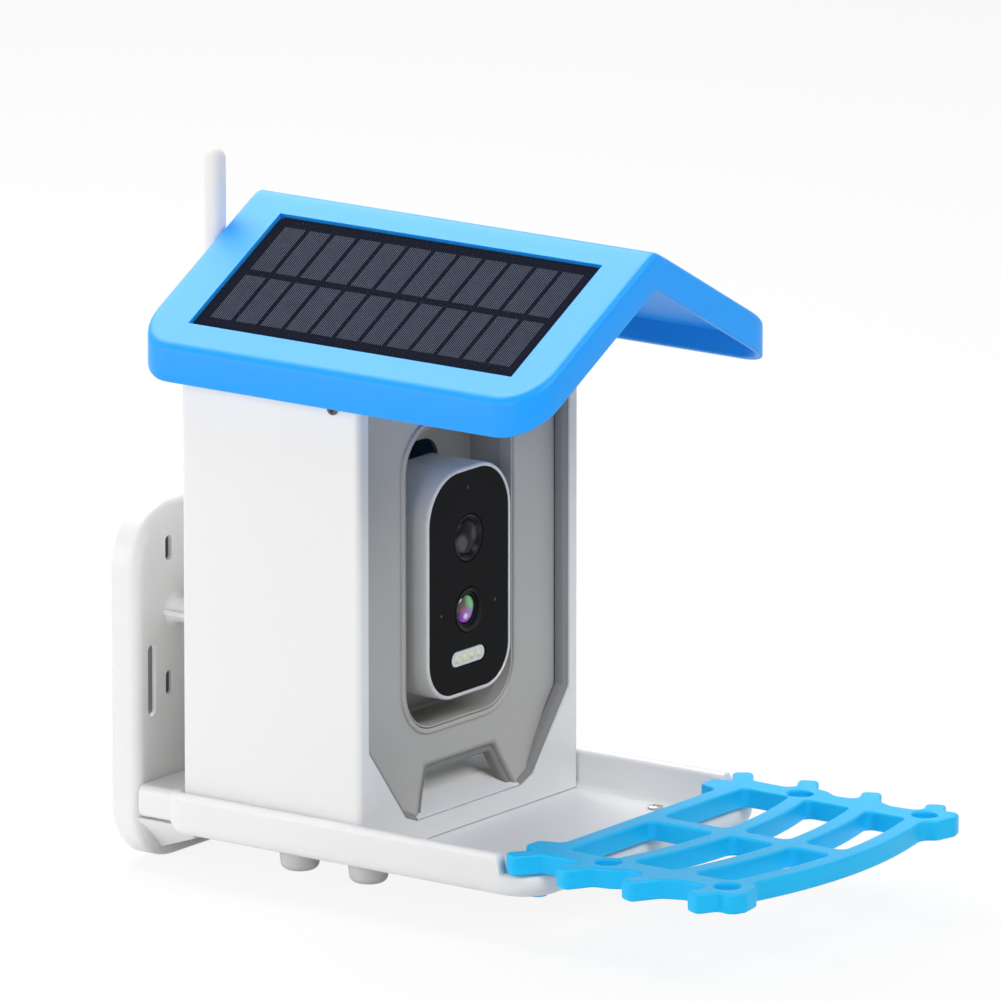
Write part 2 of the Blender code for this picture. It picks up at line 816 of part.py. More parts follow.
def build_roof_shell():
    """The bent roof: a skin over a deep rim, round at its corners, with a pocket for the solar panel."""
    eave_z = gable(roof_half, 0)
    band_z = gable(roof_half, roof_band)
    profile = [(-roof_half, band_z, eave_round), (-roof_half, eave_z, eave_round), (0, ridge_z, ridge_round),
               (roof_half, eave_z, eave_round), (roof_half, band_z, eave_round),
               (0, ridge_z - roof_band, ridge_round)]
    roof = slab("roof_shell", [rounded(profile, 3)], roof_front_y, roof_back_y, 'Y', blue_plastic)
    top = ridge_z + overrun
    low = band_z - overrun
    plan = box_outline(-roof_half - fit_gap, roof_half + fit_gap, roof_front_y - fit_gap, roof_back_y + fit_gap,
                       roof_corner, 6)
    keep(roof, slab("roof_plan", [plan], low, top, 'Z'))
    half = roof_half - roof_wall
    under_z = gable(half, roof_skin)
    inner = [(-half, low), (-half, under_z), (0, gable(0, roof_skin)), (half, under_z), (half, low)]
    hollow = slab("roof_hollow", [inner], roof_front_y + roof_wall, roof_back_y - roof_wall, 'Y')
    inner_plan = box_outline(-half - fit_gap, half + fit_gap, roof_front_y + roof_wall - fit_gap,
                             roof_back_y - roof_wall + fit_gap, roof_corner - roof_wall, 6)
    keep(hollow, slab("roof_hollow_plan", [inner_plan], low - overrun, top + overrun, 'Z'))
    cut(roof, hollow)
    cut(roof, slope_block("solar_pocket", 0, -solar_pocket_depth, overrun, None))
    return smooth(roof)


def slope_matrix():
    """From a frame on the left slope (down it from the ridge, along Y, square to it) to the row's frame."""
    across = Vector((-math.cos(roof_angle), 0, -math.sin(roof_angle)))
    square = Vector((-math.sin(roof_angle), 0, math.cos(roof_angle)))
    matrix = Matrix.Identity(4)
    for row in range(3):
        matrix[row][0] = across[row]
        matrix[row][1] = (0, 1, 0)[row]
        matrix[row][2] = square[row]
    matrix.translation = Vector((0, 0, ridge_z))
    return matrix


def slope_box(name, low, high, material):
    """A box in the left slope's own frame."""
    thing = block(name, low, high, material)
    thing.data.transform(slope_matrix())
    tidy_mesh(thing.data)
    return thing


def slope_block(name, inset, low, high, material):
    """A box over the solar panel's field, drawn in by an inset."""
    length = roof_half / math.cos(roof_angle)
    corner_low = (solar_ridge_margin + inset, roof_front_y + solar_front_margin + inset, low)
    corner_high = (length - solar_eave_margin - inset, roof_back_y - solar_back_margin - inset, high)
    return slope_box(name, corner_low, corner_high, material)


def build_solar_panel():
    """The dark laminate in the roof's pocket, its clear cover, and the junction box under the skin."""
    board_low = -solar_pocket_depth + fit_gap
    board_high = board_low + solar_board_thickness
    slope_block("solar_board", fit_gap, board_low, board_high, solar_navy)
    glass_low = board_high + fit_gap
    slope_block("solar_cover", fit_gap, glass_low, glass_low + solar_glass_thickness, clear_cover)
    middle = (solar_ridge_margin + roof_half / math.cos(roof_angle) - solar_eave_margin) / 2
    under = -roof_skin * math.cos(roof_angle) - fit_gap
    near = pivot_y + junction_setback
    slope_box("solar_junction_box", (middle - junction_width / 2, near, under - junction_height),
              (middle + junction_width / 2, near + junction_length, under), black_matte)


def build_roof_ears():
    """Two ears that hang from the roof's skin inside the house walls and turn on the pivot screws."""
    for word, sign in sides():
        outer = ear_outer_x()
        inner = outer - ear_thickness
        top = gable(outer, roof_skin) - fit_gap
        steps = 10
        tab = []
        for step in range(steps + 1):
            angle = math.pi + math.pi * step / steps
            reach = ear_half_width * math.cos(angle)
            tab.append((pivot_y + reach, pivot_z + ear_half_width * math.sin(angle)))
        foot = ear_half_width * ear_foot_share
        tab += [(pivot_y + ear_half_width, top - ear_half_width), (pivot_y + foot, top),
                (pivot_y - ear_half_width, top)]
        low, high = sorted((sign * inner, sign * outer))
        ear = slab("roof_ear_" + word, [tab], low, high, 'X', blue_plastic)
        radius = pivot_pin_radius + pin_running_gap
        cut(ear, rod("ear_way_" + word, (low - overrun, pivot_y, pivot_z), ear_thickness + overrun * 2, radius,
                     'X', sides=16))
        smooth(ear)


ear_foot_share = 3.0


def build_pivot_screws():
    """The two screws that the roof turns on, with their heads outside the house walls."""
    for word, sign in sides():
        inner = ear_outer_x() - ear_thickness - slide_gap
        outer = house_half + fit_gap
        reach = outer - inner
        start = -outer - pivot_head_height / 2 if sign < 0 else inner
        shank = rod("pivot_screw_" + word, (start, pivot_y, pivot_z), reach + pivot_head_height / 2,
                    pivot_pin_radius, 'X', screw_steel, 16)
        head_start = -outer - pivot_head_height if sign < 0 else outer
        head = rod("pivot_head_" + word, (head_start, pivot_y, pivot_z), pivot_head_height, pivot_head_radius,
                   'X', None, 20)
        join(shank, head)


def camera_outline(shrink=0.0):
    """The camera's front view, drawn in by a wall."""
    half = camera_face_half - shrink
    low = rim_z + camera_face_bottom + shrink
    high = rim_z + camera_face_top - shrink
    foot = camera_foot_corner - shrink
    top = camera_top_corner - shrink
    return rounded([(-half, low, foot), (half, low, foot), (half, high, top), (-half, high, top)], 6)


def build_camera_case():
    """The camera's case: a straight round-cornered tub, open in front."""
    start_y = camera_front_y + bezel_depth + fit_gap
    case = slab("camera_case", [camera_outline()], start_y, camera_back_y, 'Y', white_plastic)
    inner = camera_outline(camera_wall)
    cut(case, slab("case_hollow", [inner], start_y - overrun, camera_back_y - camera_wall, 'Y'))
    cut(case, rod("button_way", (button_offset, button_y(), rim_z + camera_face_bottom - overrun),
                  overrun * 2 + camera_wall, button_radius + button_wall_gap, 'Z'))
    return smooth(case)


def button_y():
    """How far back the power button and the port cover sit under the camera."""
    return (camera_front_y + bezel_depth + camera_back_y) / 2


def build_camera_front():
    """The bezel ring around the black window, and the window itself with its holes."""
    back = camera_front_y + bezel_depth
    rings = [camera_outline(), camera_outline(bezel_width)]
    bezel = slab("camera_bezel", rings, camera_front_y, back, 'Y', white_plastic)
    soften(bezel, bezel_width / 4, 1)
    smooth(bezel)
    front = camera_front_y + window_recess
    pane = camera_outline(bezel_width + fit_gap)
    window = slab("camera_window", [pane], front, front + window_thickness, 'Y', black_gloss)
    holes = (("motion", motion_rise, motion_radius), ("lens", lens_rise, lens_outer_radius))
    for word, rise, radius in holes:
        cut(window, rod(word + "_hole", (0, front - overrun, rim_z + rise), window_thickness + overrun * 2,
                        radius + fit_gap, 'Y', sides=32))
    lamp = lamp_outline(fit_gap)
    cut(window, slab("lamp_hole", [lamp], front - overrun, front + window_thickness + overrun, 'Y'))
    smooth(window)


def lamp_outline(grow):
    """The lamp's round-ended slot, grown outwards by a gap."""
    half = lamp_length / 2 + grow
    tall = lamp_height / 2 + grow
    return box_outline(-half, half, rim_z + lamp_rise - tall, rim_z + lamp_rise + tall, tall, 6)


def build_camera_optics():
    """The motion sensor's dome, the lens barrel with its glass, and the lamp's diffuser."""
    front = camera_front_y + window_recess
    dome_back = front + window_thickness
    profile_steps = 6
    dome = turned("motion_dome", dome_profile(motion_radius, motion_proud, window_thickness, profile_steps),
                  (0, front, rim_z + motion_rise), black_matte)
    smooth(dome)
    lens_z = rim_z + lens_rise
    lip = front - lens_proud
    barrel = rod("lens_barrel", (0, lip, lens_z), lens_depth, lens_outer_radius, 'Y', black_matte, 32)
    cut(barrel, rod("barrel_bore", (0, lip - overrun, lens_z), lens_depth - window_thickness + overrun,
                    lens_inner_radius, 'Y', sides=32))
    glass = turned("lens_glass", dome_profile(lens_inner_radius - fit_gap, lens_proud * glass_bulge_share,
                                              window_thickness, profile_steps),
                   (0, front + lens_proud, lens_z), lens_coating)
    smooth(glass)
    lamp = slab("lamp_cover", [lamp_outline(0)], front, dome_back, 'Y', lamp_diffuser)
    smooth(lamp)


glass_bulge_share = 1.0


def dome_profile(radius, bulge, depth, steps):
    """A turned outline from the middle of a bulging front, round to the middle of a flat back."""
    outline = []
    for step in range(steps + 1):
        angle = math.pi / 2 * step / steps
        outline.append((radius * math.sin(angle), bulge * math.cos(angle)))
    outline.append((radius, -depth))
    outline.append((0, -depth))
    return outline


def turned(name, profile, place, material=None, sides=32):
    """A profile turned about the Y axis. Each point is (radius, height towards the front)."""
    mesh = bpy.data.meshes.new(name)
    work = bmesh.new()
    points = [work.verts.new((radius, 0, height)) for radius, height in profile]
    edges = [work.edges.new((points[index], points[index + 1])) for index in range(len(points) - 1)]
    bmesh.ops.spin(work, geom=points + edges, cent=(0, 0, 0), axis=(0, 0, 1), angle=2 * math.pi, steps=sides)
    turn = Matrix.Translation(place) @ Matrix.Rotation(math.pi / 2, 4, 'X')
    bmesh.ops.transform(work, verts=work.verts, matrix=turn)
    work.to_mesh(mesh)
    work.free()
    tidy_mesh(mesh)
    return new_object(name, mesh, material, group_for(material))


def build_camera_insides():
    """The circuit board, the sensor and lamp board in front of it, the battery and speaker behind it."""
    front = camera_front_y + window_recess
    board_y = front - lens_proud + lens_depth + fit_gap
    half = camera_face_half - board_margin
    board = slab("main_board", [box_outline(-half, half, rim_z + camera_face_bottom + board_margin,
                                            rim_z + camera_face_top - board_margin, camera_top_corner, 3)],
                 board_y, board_y + board_thickness, 'Y', circuit_green)
    smooth(board)
    near = front + window_thickness + fit_gap
    rod("motion_sensor", (0, near, rim_z + motion_rise), board_y - fit_gap - near, motion_radius / 2, 'Y',
        screw_steel)
    slab("lamp_board", [lamp_outline(-fit_gap)], near, near + board_thickness, 'Y', circuit_green)
    behind = board_y + board_thickness + fit_gap
    pack = block("battery_pack", (-battery_width / 2, behind, rim_z + battery_rise),
                 (battery_width / 2, behind + battery_depth, rim_z + battery_rise + battery_length), cell_wrap)
    soften(pack, battery_depth / 5, 2)
    smooth(pack)
    rod("speaker", (0, behind, rim_z + speaker_rise - speaker_radius), speaker_depth, speaker_radius, 'Y',
        black_matte)


def build_power_button():
    """The button under the camera, which travels up into its case."""
    skin_z = rim_z + camera_face_bottom
    place = (button_offset, button_y(), skin_z - button_proud)
    button = rod("power_button", place, button_length, button_radius, 'Z', shade_plastic, 20)
    pivot("power_button_axis", place, button)


def build_port_cover():
    """The hinged flap under the camera that covers its charging port."""
    top = rim_z + camera_face_bottom - fit_gap
    y = button_y()
    low = (-cover_offset - cover_length, y - cover_width / 2, top - cover_thickness)
    flap = block("port_cover", low, (-cover_offset, y + cover_width / 2, top), foot_rubber)
    soften(flap, cover_thickness / 4, 1)
    knuckle = rod("cover_knuckle", (-cover_offset, y - cover_width / 2, top - cover_thickness / 2), cover_width,
                  cover_thickness / 2, 'Y', None, 12)
    join(flap, knuckle)
    pivot("port_cover_axis", (-cover_offset, y, top - cover_thickness / 2), flap)
    return flap


socket_neck_share = 0.70


def build_antenna():
    """The aerial behind the house: a socket in the back wall, a turning knuckle, and a tilting blade."""
    neck = antenna_socket_radius * socket_neck_share
    inside = house_wall + fit_gap * 2 + antenna_socket_radius / 2
    socket_start = house_back_y + fit_gap
    x = -antenna_offset
    socket = rod("antenna_socket", (x, socket_start, antenna_z), antenna_socket_length, antenna_socket_radius, 'Y',
                 white_plastic, 24)
    join(socket, rod("antenna_neck", (x, house_back_y - inside, antenna_z), inside + antenna_socket_radius / 2,
                     neck, 'Y', sides=20))
    smooth(socket)
    knuckle_y = socket_start + antenna_socket_length + hinge_gap
    half = knuckle_width / 2
    pin_z = antenna_z
    pin_y = knuckle_y + knuckle_floor() + knuckle_depth / 2 + hinge_gap
    arm_top = pin_z + knuckle_height / 2
    knuckle = block("antenna_knuckle", (x - half, knuckle_y, antenna_z - knuckle_height / 2),
                    (x + half, pin_y + knuckle_depth / 2, arm_top), white_plastic)
    gap_half = half - knuckle_cheek
    slot = block("knuckle_slot", (x - gap_half, knuckle_y + knuckle_floor(), antenna_z - knuckle_height),
                 (x + gap_half, pin_y + knuckle_depth, arm_top + overrun))
    cut(knuckle, slot)
    cut(knuckle, rod("knuckle_way", (x - half - overrun, pin_y, pin_z), knuckle_width + overrun * 2,
                     blade_pin_radius + pin_running_gap, 'X', sides=16))
    soften(knuckle, knuckle_cheek / 4, 1)
    pin = rod("antenna_pin", (x - half, pin_y, pin_z), knuckle_width, blade_pin_radius, 'X', screw_steel, 16)
    root_half = gap_half - hinge_gap
    root_radius = knuckle_depth / 2 - hinge_gap
    blade_bottom = arm_top + hinge_gap * 4
    tip = antenna_z + blade_reach
    near = x - blade_width / 2
    far = x + blade_width / 2
    outline = [(near, blade_bottom, blade_round / 3), (far, blade_bottom, blade_round / 3),
               (far, tip - blade_round * 2, blade_round), (x + blade_width / 4, tip, blade_round),
               (near, tip, blade_round / 3)]
    front = pin_y - blade_depth / 2
    blade = slab("antenna_blade", [rounded(outline, 3)], front, front + blade_depth, 'Y', white_plastic)
    soften(blade, blade_depth / 5, 1)
    root = rod("blade_root", (x - root_half, pin_y, pin_z), root_half * 2, root_radius, 'X')
    neck_block = block("blade_neck", (x - root_half, pin_y - blade_depth / 2 + fit_gap, pin_z),
                       (x + root_half, pin_y + blade_depth / 2 - fit_gap, blade_bottom + blade_round / 2))
    join(blade, root, neck_block)
    cut(blade, rod("blade_way", (x - half, pin_y, pin_z), knuckle_width, blade_pin_radius + pin_running_gap, 'X',
                   sides=16))
    smooth(blade)
    swivel = pivot("antenna_swivel_axis", (x, knuckle_y, antenna_z), knuckle, pin)
    tilt = pivot("antenna_tilt_axis", (x, pin_y, pin_z), blade)
    tilt.parent = swivel
    tilt.matrix_parent_inverse = swivel.matrix_world.inverted()


def knuckle_floor():
    """The wall between the knuckle's slot and the socket."""
    return knuckle_cheek


def bowed(x, line_y):
    """A bar's line across the perch, which bows forward in the middle."""
    share = min(abs(x) / perch_inner_half, 1)
    return line_y + perch_bow * share * share


def bar_lines():
    """The middle lines of the perch's four bars, from the rear one to the front one."""
    rear = front_y - perch_rear_reach - perch_bar / 2
    front = front_y - perch_front_reach + perch_bar / 2
    span = (front - rear) * bar_gap_share
    return rear, rear + span * bar_rear_share, rear + span * bar_middle_share, front


bar_gap_share = 1.12


def perch_cells():
    """The lattice's six gaps, two in each row, with bowed long sides and round corners."""
    lines = bar_lines()
    cells = []
    corner = perch_bar * cell_corner_share
    for row in range(3):
        back = lines[row] - perch_bar / 2
        front = lines[row + 1] + perch_bar / 2
        near = perch_bar / 2
        far = perch_inner_half
        columns = [near + (far - near) * step / 4 for step in range(5)]
        for _, sign in sides():
            rear_edge = [(sign * x, bowed(x, back)) for x in columns]
            if row == 0:
                rear_edge = [(sign * near, back), (sign * far, back)]
            front_edge = [(sign * x, bowed(x, front)) for x in reversed(columns)]
            path = rear_edge + front_edge
            ends = (0, len(rear_edge) - 1, len(rear_edge), len(path) - 1)
            shaped = [(x, y, corner if index in ends else 0) for index, (x, y) in enumerate(path)]
            cells.append(rounded(shaped, 3))
    return cells


cell_corner_share = 0.30


def spike(y):
    """One side spike of the perch's right edge: a blunt thorn that leans back, with its base at y."""
    width = perch_spike_width
    tip = perch_half + perch_spike_reach
    back = y + perch_spike_back
    lean = width * spike_lean_share
    return [(perch_half, y + width, width), (tip - lean, back + width / 2, width * arc_share / 2),
            (tip, back - width / 2, width * arc_share / 2), (perch_half + lean, y - width, width),
            (perch_half, y - width * 3 / 2, width)]


spike_lean_share = 0.45


def perch_outline():
    """The perch's outer edge: two claws at each rear corner, three spikes a side, and a bowed front."""
    rear = front_y - perch_rear_reach
    claw = perch_spike_width
    back = rear + perch_claw_reach
    right = [(0, rear, 0), (peg_half - claw, rear, claw / 2), (peg_half - claw / 2, back, claw / 3),
             (peg_half + claw / 2, back, claw / 3), (peg_half + claw, rear + claw / 4, claw / 3),
             (perch_half + claw / 2, back, claw / 3), (perch_half + claw * 3 / 2, rear + claw / 2, claw / 3),
             (perch_half, rear - claw, claw)]
    lines = bar_lines()
    for line in lines[1:]:
        right += spike(bowed(perch_inner_half, line))
    right = right[:-2]
    front = lines[-1] - perch_bar / 2
    boss = perch_boss_radius
    hole_y = bowed(perch_front_hole_half, lines[-1])
    right += [(perch_front_hole_half + boss, hole_y - boss / 2, boss / 2),
              (perch_front_hole_half + boss / 2, hole_y - boss, boss / 2),
              (perch_front_hole_half - boss / 2, hole_y - boss, boss / 2)]
    steps = 6
    for step in range(1, steps + 1):
        x = (perch_front_hole_half - boss) * (1 - step / steps)
        right.append((x, bowed(x, front), 0))
    left = [(-x, y, radius) for x, y, radius in reversed(right[1:-1])]
    return rounded(right + left, 3)


def circle(x, y, radius, steps=16):
    """A round hole's outline."""
    turns = [2 * math.pi * step / steps for step in range(steps)]
    return [(x + radius * math.cos(turn), y + radius * math.sin(turn)) for turn in turns]


def build_perch():
    """The lattice perch, with a peg under each rear corner that drops into the tray's floor."""
    lines = bar_lines()
    outlines = [perch_outline()] + perch_cells()
    for _, sign in sides():
        for half, line in ((perch_rear_hole_half, lines[1]), (perch_front_hole_half, lines[3])):
            outlines.append(circle(sign * half, bowed(half, line), perch_hole_radius))
    perch = slab("perch", outlines, perch_bottom_z, perch_top_z, 'Z', blue_plastic)
    soften(perch, perch_edge, 1)
    for word, sign in sides():
        low = tray_bottom_z - peg_drop
        join(perch, rod("perch_peg_" + word, (sign * peg_half, peg_y(), low),
                        perch_bottom_z + perch_thickness / 2 - low, peg_radius, 'Z'))
    return smooth(perch)


def main():
    """Builds every piece, then hangs each moving group on its joint's axis."""
    build_wall_plate()
    build_plate_screws()
    build_house_shell()
    build_front_panel()
    build_seed_ramp()
    build_camera_pocket()
    build_seed_tray()
    build_tray_screws()
    build_feet()
    build_roof_shell()
    build_solar_panel()
    build_roof_ears()
    build_pivot_screws()
    build_camera_case()
    build_camera_front()
    build_camera_optics()
    build_camera_insides()
    build_power_button()
    build_port_cover()
    build_antenna()
    build_perch()
    roof_pieces = ["roof_shell", "solar_board", "solar_cover", "solar_junction_box", "roof_ear_left",
                   "roof_ear_right"]
    pivot("roof_hinge_axis", (0, pivot_y, pivot_z), *[parts.objects[name] for name in roof_pieces])
    camera_pieces = ["camera_case", "camera_bezel", "camera_window", "motion_dome", "lens_barrel", "lens_glass",
                     "lamp_cover", "lamp_board", "motion_sensor", "main_board", "battery_pack", "speaker"]
    camera = pivot("camera_slide_axis", (0, camera_back_y, rim_z + lens_rise),
                   *[parts.objects[name] for name in camera_pieces])
    for name in ("power_button_axis", "port_cover_axis"):
        axis = parts.objects[name]
        axis.parent = camera
        axis.matrix_parent_inverse = camera.matrix_world.inverted()
    pivot("perch_lift_axis", (0, peg_y(), perch_bottom_z), parts.objects["perch"])


main()
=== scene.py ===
import math
from contextlib import contextmanager

import bmesh
import bpy
import numpy as np
from mathutils import Matrix, Vector


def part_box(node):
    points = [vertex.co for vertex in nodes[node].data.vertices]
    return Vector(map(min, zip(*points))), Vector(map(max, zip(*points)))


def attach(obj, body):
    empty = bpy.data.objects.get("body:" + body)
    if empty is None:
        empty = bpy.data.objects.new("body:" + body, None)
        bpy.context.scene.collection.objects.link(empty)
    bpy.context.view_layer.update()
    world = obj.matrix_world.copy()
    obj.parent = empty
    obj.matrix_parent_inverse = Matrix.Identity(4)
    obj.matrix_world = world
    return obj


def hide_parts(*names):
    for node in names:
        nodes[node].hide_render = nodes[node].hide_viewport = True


# Smart bird feeder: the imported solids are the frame, and the pieces below are its finished shapes.
# Metres, +Z up, the front faces -Y, and the origin is on the wall plate's back, midway between its
# strap slots.

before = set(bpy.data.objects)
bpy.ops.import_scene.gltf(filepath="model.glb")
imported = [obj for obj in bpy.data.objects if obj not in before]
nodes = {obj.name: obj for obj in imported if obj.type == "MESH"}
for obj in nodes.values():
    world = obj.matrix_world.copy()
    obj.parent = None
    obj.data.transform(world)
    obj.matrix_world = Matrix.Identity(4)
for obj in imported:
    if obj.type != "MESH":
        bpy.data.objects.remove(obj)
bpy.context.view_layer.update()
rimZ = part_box("seed_tray")[1].z            # top of the tray's rim, from which heights are counted
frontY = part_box("house_shell")[0].y        # plane of the house's front
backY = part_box("house_shell")[1].y
mirrored = np.array([-1, 1, 1])
print("frame loaded:", len(nodes), "nodes")


# Shader maths

class Signal:
    # one output socket, on which + - and * add Math nodes
    def __init__(self, graph, socket):
        self.graph, self.socket = graph, socket

    def maths(self, operation, *others):
        return self.graph.add("ShaderNodeMath", {"operation": operation}, dict(enumerate((self, *others))))

    def __add__(self, other):
        return self.maths("ADD", other)

    def __sub__(self, other):
        return self.maths("SUBTRACT", other)

    def __mul__(self, other):
        return self.maths("MULTIPLY", other)

    def __rsub__(self, other):
        return self * -1.0 + other

    __radd__ = __add__

    def below(self, edge, soft):
        # 1 under the edge and 0 over it, with a ramp of the given width
        return self.graph.add("ShaderNodeMapRange", {"interpolation_type": "SMOOTHSTEP"},
                              {"Value": self, "From Min": edge - soft / 2, "From Max": edge + soft / 2,
                               "To Min": 1.0, "To Max": 0.0})

    def folded(self, pitch):
        # distance from the middle of each repeat of a pattern, in the signal's own unit
        return (self.maths("FLOORED_MODULO", pitch) - pitch / 2).maths("ABSOLUTE")


class Graph:
    # a node tree with its output node, which grows by signals
    def __init__(self, tree, output):
        self.tree, self.output = tree, tree.nodes[output]

    def feed(self, socket, value):
        if isinstance(value, Signal):
            self.tree.links.new(value.socket, socket)
        else:
            socket.default_value = value

    def add(self, kind, settings=None, inputs=None, output=0):
        node = self.tree.nodes.new(kind)
        for key, value in (settings or {}).items():
            setattr(node, key, value)
        for key, value in (inputs or {}).items():
            self.feed(node.inputs[key], value)
        return Signal(self, node.outputs[output])

    def seenDirectly(self):
        # 1 for rays from the camera, off a gloss or through a clear sheet, and 0 for all other light
        rays = self.tree.nodes.new("ShaderNodeLightPath").outputs
        camera, gloss, clear = (Signal(self, rays["Is " + kind + " Ray"])
                                for kind in ("Camera", "Glossy", "Transmission"))
        return camera.maths("MAXIMUM", gloss).maths("MAXIMUM", clear)

    def showing(self, factor, first, second):
        # the output becomes a mix of two shaders
        mixed = self.add("ShaderNodeMixShader", None, {0: factor, 1: first, 2: second})
        self.feed(self.output.inputs["Surface"], mixed)


class Finish(Graph):
    # a Principled material whose varying inputs are fed by signals
    def __init__(self, name, **constants):
        self.material = bpy.data.materials.new(name)
        self.material.use_nodes = True
        super().__init__(self.material.node_tree, "Material Output")
        self.shader = self.tree.nodes["Principled BSDF"]
        self.place = Signal(self, self.tree.nodes.new("ShaderNodeTexCoord").outputs["Object"])
        self.set(**constants)

    def set(self, **values):
        for key, value in values.items():
            if isinstance(value, tuple) and len(value) == 3:
                value = (*value, 1.0)
            self.feed(self.shader.inputs[socketNames[key]], value)

    def along(self, x, y, z):
        # how far the surface point lies along a direction, from its Object coordinates
        return self.measured("DOT_PRODUCT", (x, y, z))

    def distance(self, spot):
        return self.measured("DISTANCE", spot)

    def measured(self, operation, vector):
        return self.add("ShaderNodeVectorMath", {"operation": operation}, {0: self.place, 1: vector}, 1)

    def noise(self, scale, detail=3.0, roughness=0.5):
        return self.add("ShaderNodeTexNoise", None,
                        {"Vector": self.place, "Scale": scale, "Detail": detail, "Roughness": roughness})

    def mixColors(self, factor, first, second):
        colors = [value if isinstance(value, Signal) else (*value, 1.0) for value in (first, second)]
        return self.add("ShaderNodeMix", {"data_type": "RGBA"}, {0: factor, 6: colors[0], 7: colors[1]}, 2)

    def bump(self, height, distance, strength):
        self.set(normal=self.add("ShaderNodeBump", None,
                                 {"Height": height, "Distance": distance, "Strength": strength}))

    def paintedGlints(self, color, middle, patches):
        # painted glints: round patches of reflected light laid over a colour one by one: (x, z, radius, soft
        # edge, strength, colour)
        for x, z, radius, soft, strength, tint in patches:
            patch = self.distance((middle[0] + x, middle[1], middle[2] + z)).below(radius, soft)
            color = self.mixColors(patch * strength, color, tint)
        return color


socketNames = {"color": "Base Color", "roughness": "Roughness", "metallic": "Metallic", "alpha": "Alpha",
               "normal": "Normal", "coat": "Coat Weight", "coatRoughness": "Coat Roughness",
               "specular": "Specular IOR Level"}


def moldedPlastic(name, look, **changes):
    # colour drifts a little over a few centimetres, and a fine spark-eroded grain sets sheen and bump
    look = {**look, **changes}
    finish = Finish(name, specular=look.get("specular", 0.5))
    drift = finish.noise(18.0, 2.0)
    grain = finish.noise(look["grainScale"], 4.0, 0.6)
    finish.set(color=finish.mixColors(drift, look["color"], look["colorAway"]),
               roughness=look["roughness"] + (grain - 0.5) * look["roughnessSwing"])
    finish.bump(grain, look["grainDepth"], 0.6)
    return finish


whitePlasticLook = {"color": (0.820, 0.815, 0.808), "colorAway": (0.798, 0.794, 0.788), "roughness": 0.40,
                    "roughnessSwing": 0.16, "grainScale": 1500.0, "grainDepth": 0.00006}
# the panel's plastic is the housing's white painted darker and warmer: painted shade for the roof's overhang,
# with the blue light off the roof painted out
shadedPanelLook = {**whitePlasticLook, "color": (0.470, 0.453, 0.427), "colorAway": (0.446, 0.430, 0.406),
                    "roughness": 0.42}
bluePlasticLook = {"color": (0.006, 0.345, 0.980), "colorAway": (0.005, 0.330, 0.965), "roughness": 0.42,
                   "roughnessSwing": 0.14, "grainScale": 1300.0, "grainDepth": 0.00007, "specular": 0.32}
blackPlasticLook = {"color": (0.014, 0.014, 0.015), "colorAway": (0.020, 0.020, 0.022), "roughness": 0.42,
                    "roughnessSwing": 0.20, "grainScale": 2200.0, "grainDepth": 0.00005}
footRubberLook = {"color": (0.560, 0.560, 0.565), "colorAway": (0.520, 0.520, 0.525), "roughness": 0.72,
                  "roughnessSwing": 0.20, "grainScale": 900.0, "grainDepth": 0.00012}

whitePlastic = moldedPlastic("whiteHousingPlastic", whitePlasticLook)
# the panel and pocket plastic carries painted shade
shadedPanelPlastic = moldedPlastic("recessPanelPaintedShadePlastic", shadedPanelLook)
bluePlastic = moldedPlastic("skyBlueShellPlastic", bluePlasticLook)
perchPlastic = moldedPlastic("skyBluePerchPlastic", bluePlasticLook, color=(0.010, 0.535, 0.965),
                             colorAway=(0.008, 0.512, 0.940), specular=0.22)
blackPlastic = moldedPlastic("blackFinePlastic", blackPlasticLook)
# the blade's white is painted brighter and warmer than the housing's: painted light against the blue the roof
# throws on it
bladePaintedLightPlastic = moldedPlastic("whiteBladePaintedLightPlastic", whitePlasticLook, color=(0.860, 0.830, 0.790),
                             colorAway=(0.845, 0.815, 0.775))
footRubber = moldedPlastic("softGreyRubber", footRubberLook)


# Outlines and surfaces

@contextmanager
def opened(mesh):
    # a mesh as a bmesh, written back when the work on it is done
    work = bmesh.new()
    work.from_mesh(mesh)
    yield work
    work.to_mesh(mesh)
    work.free()


def healed(mesh, apart):
    # points less than this apart become one, and the faces turn outwards
    with opened(mesh) as work:
        bmesh.ops.remove_doubles(work, verts=work.verts, dist=apart)
        bmesh.ops.recalc_face_normals(work, faces=work.faces)
    return mesh


def placed(name, data):
    thing = bpy.data.objects.new(name, data)
    bpy.context.scene.collection.objects.link(thing)
    return thing


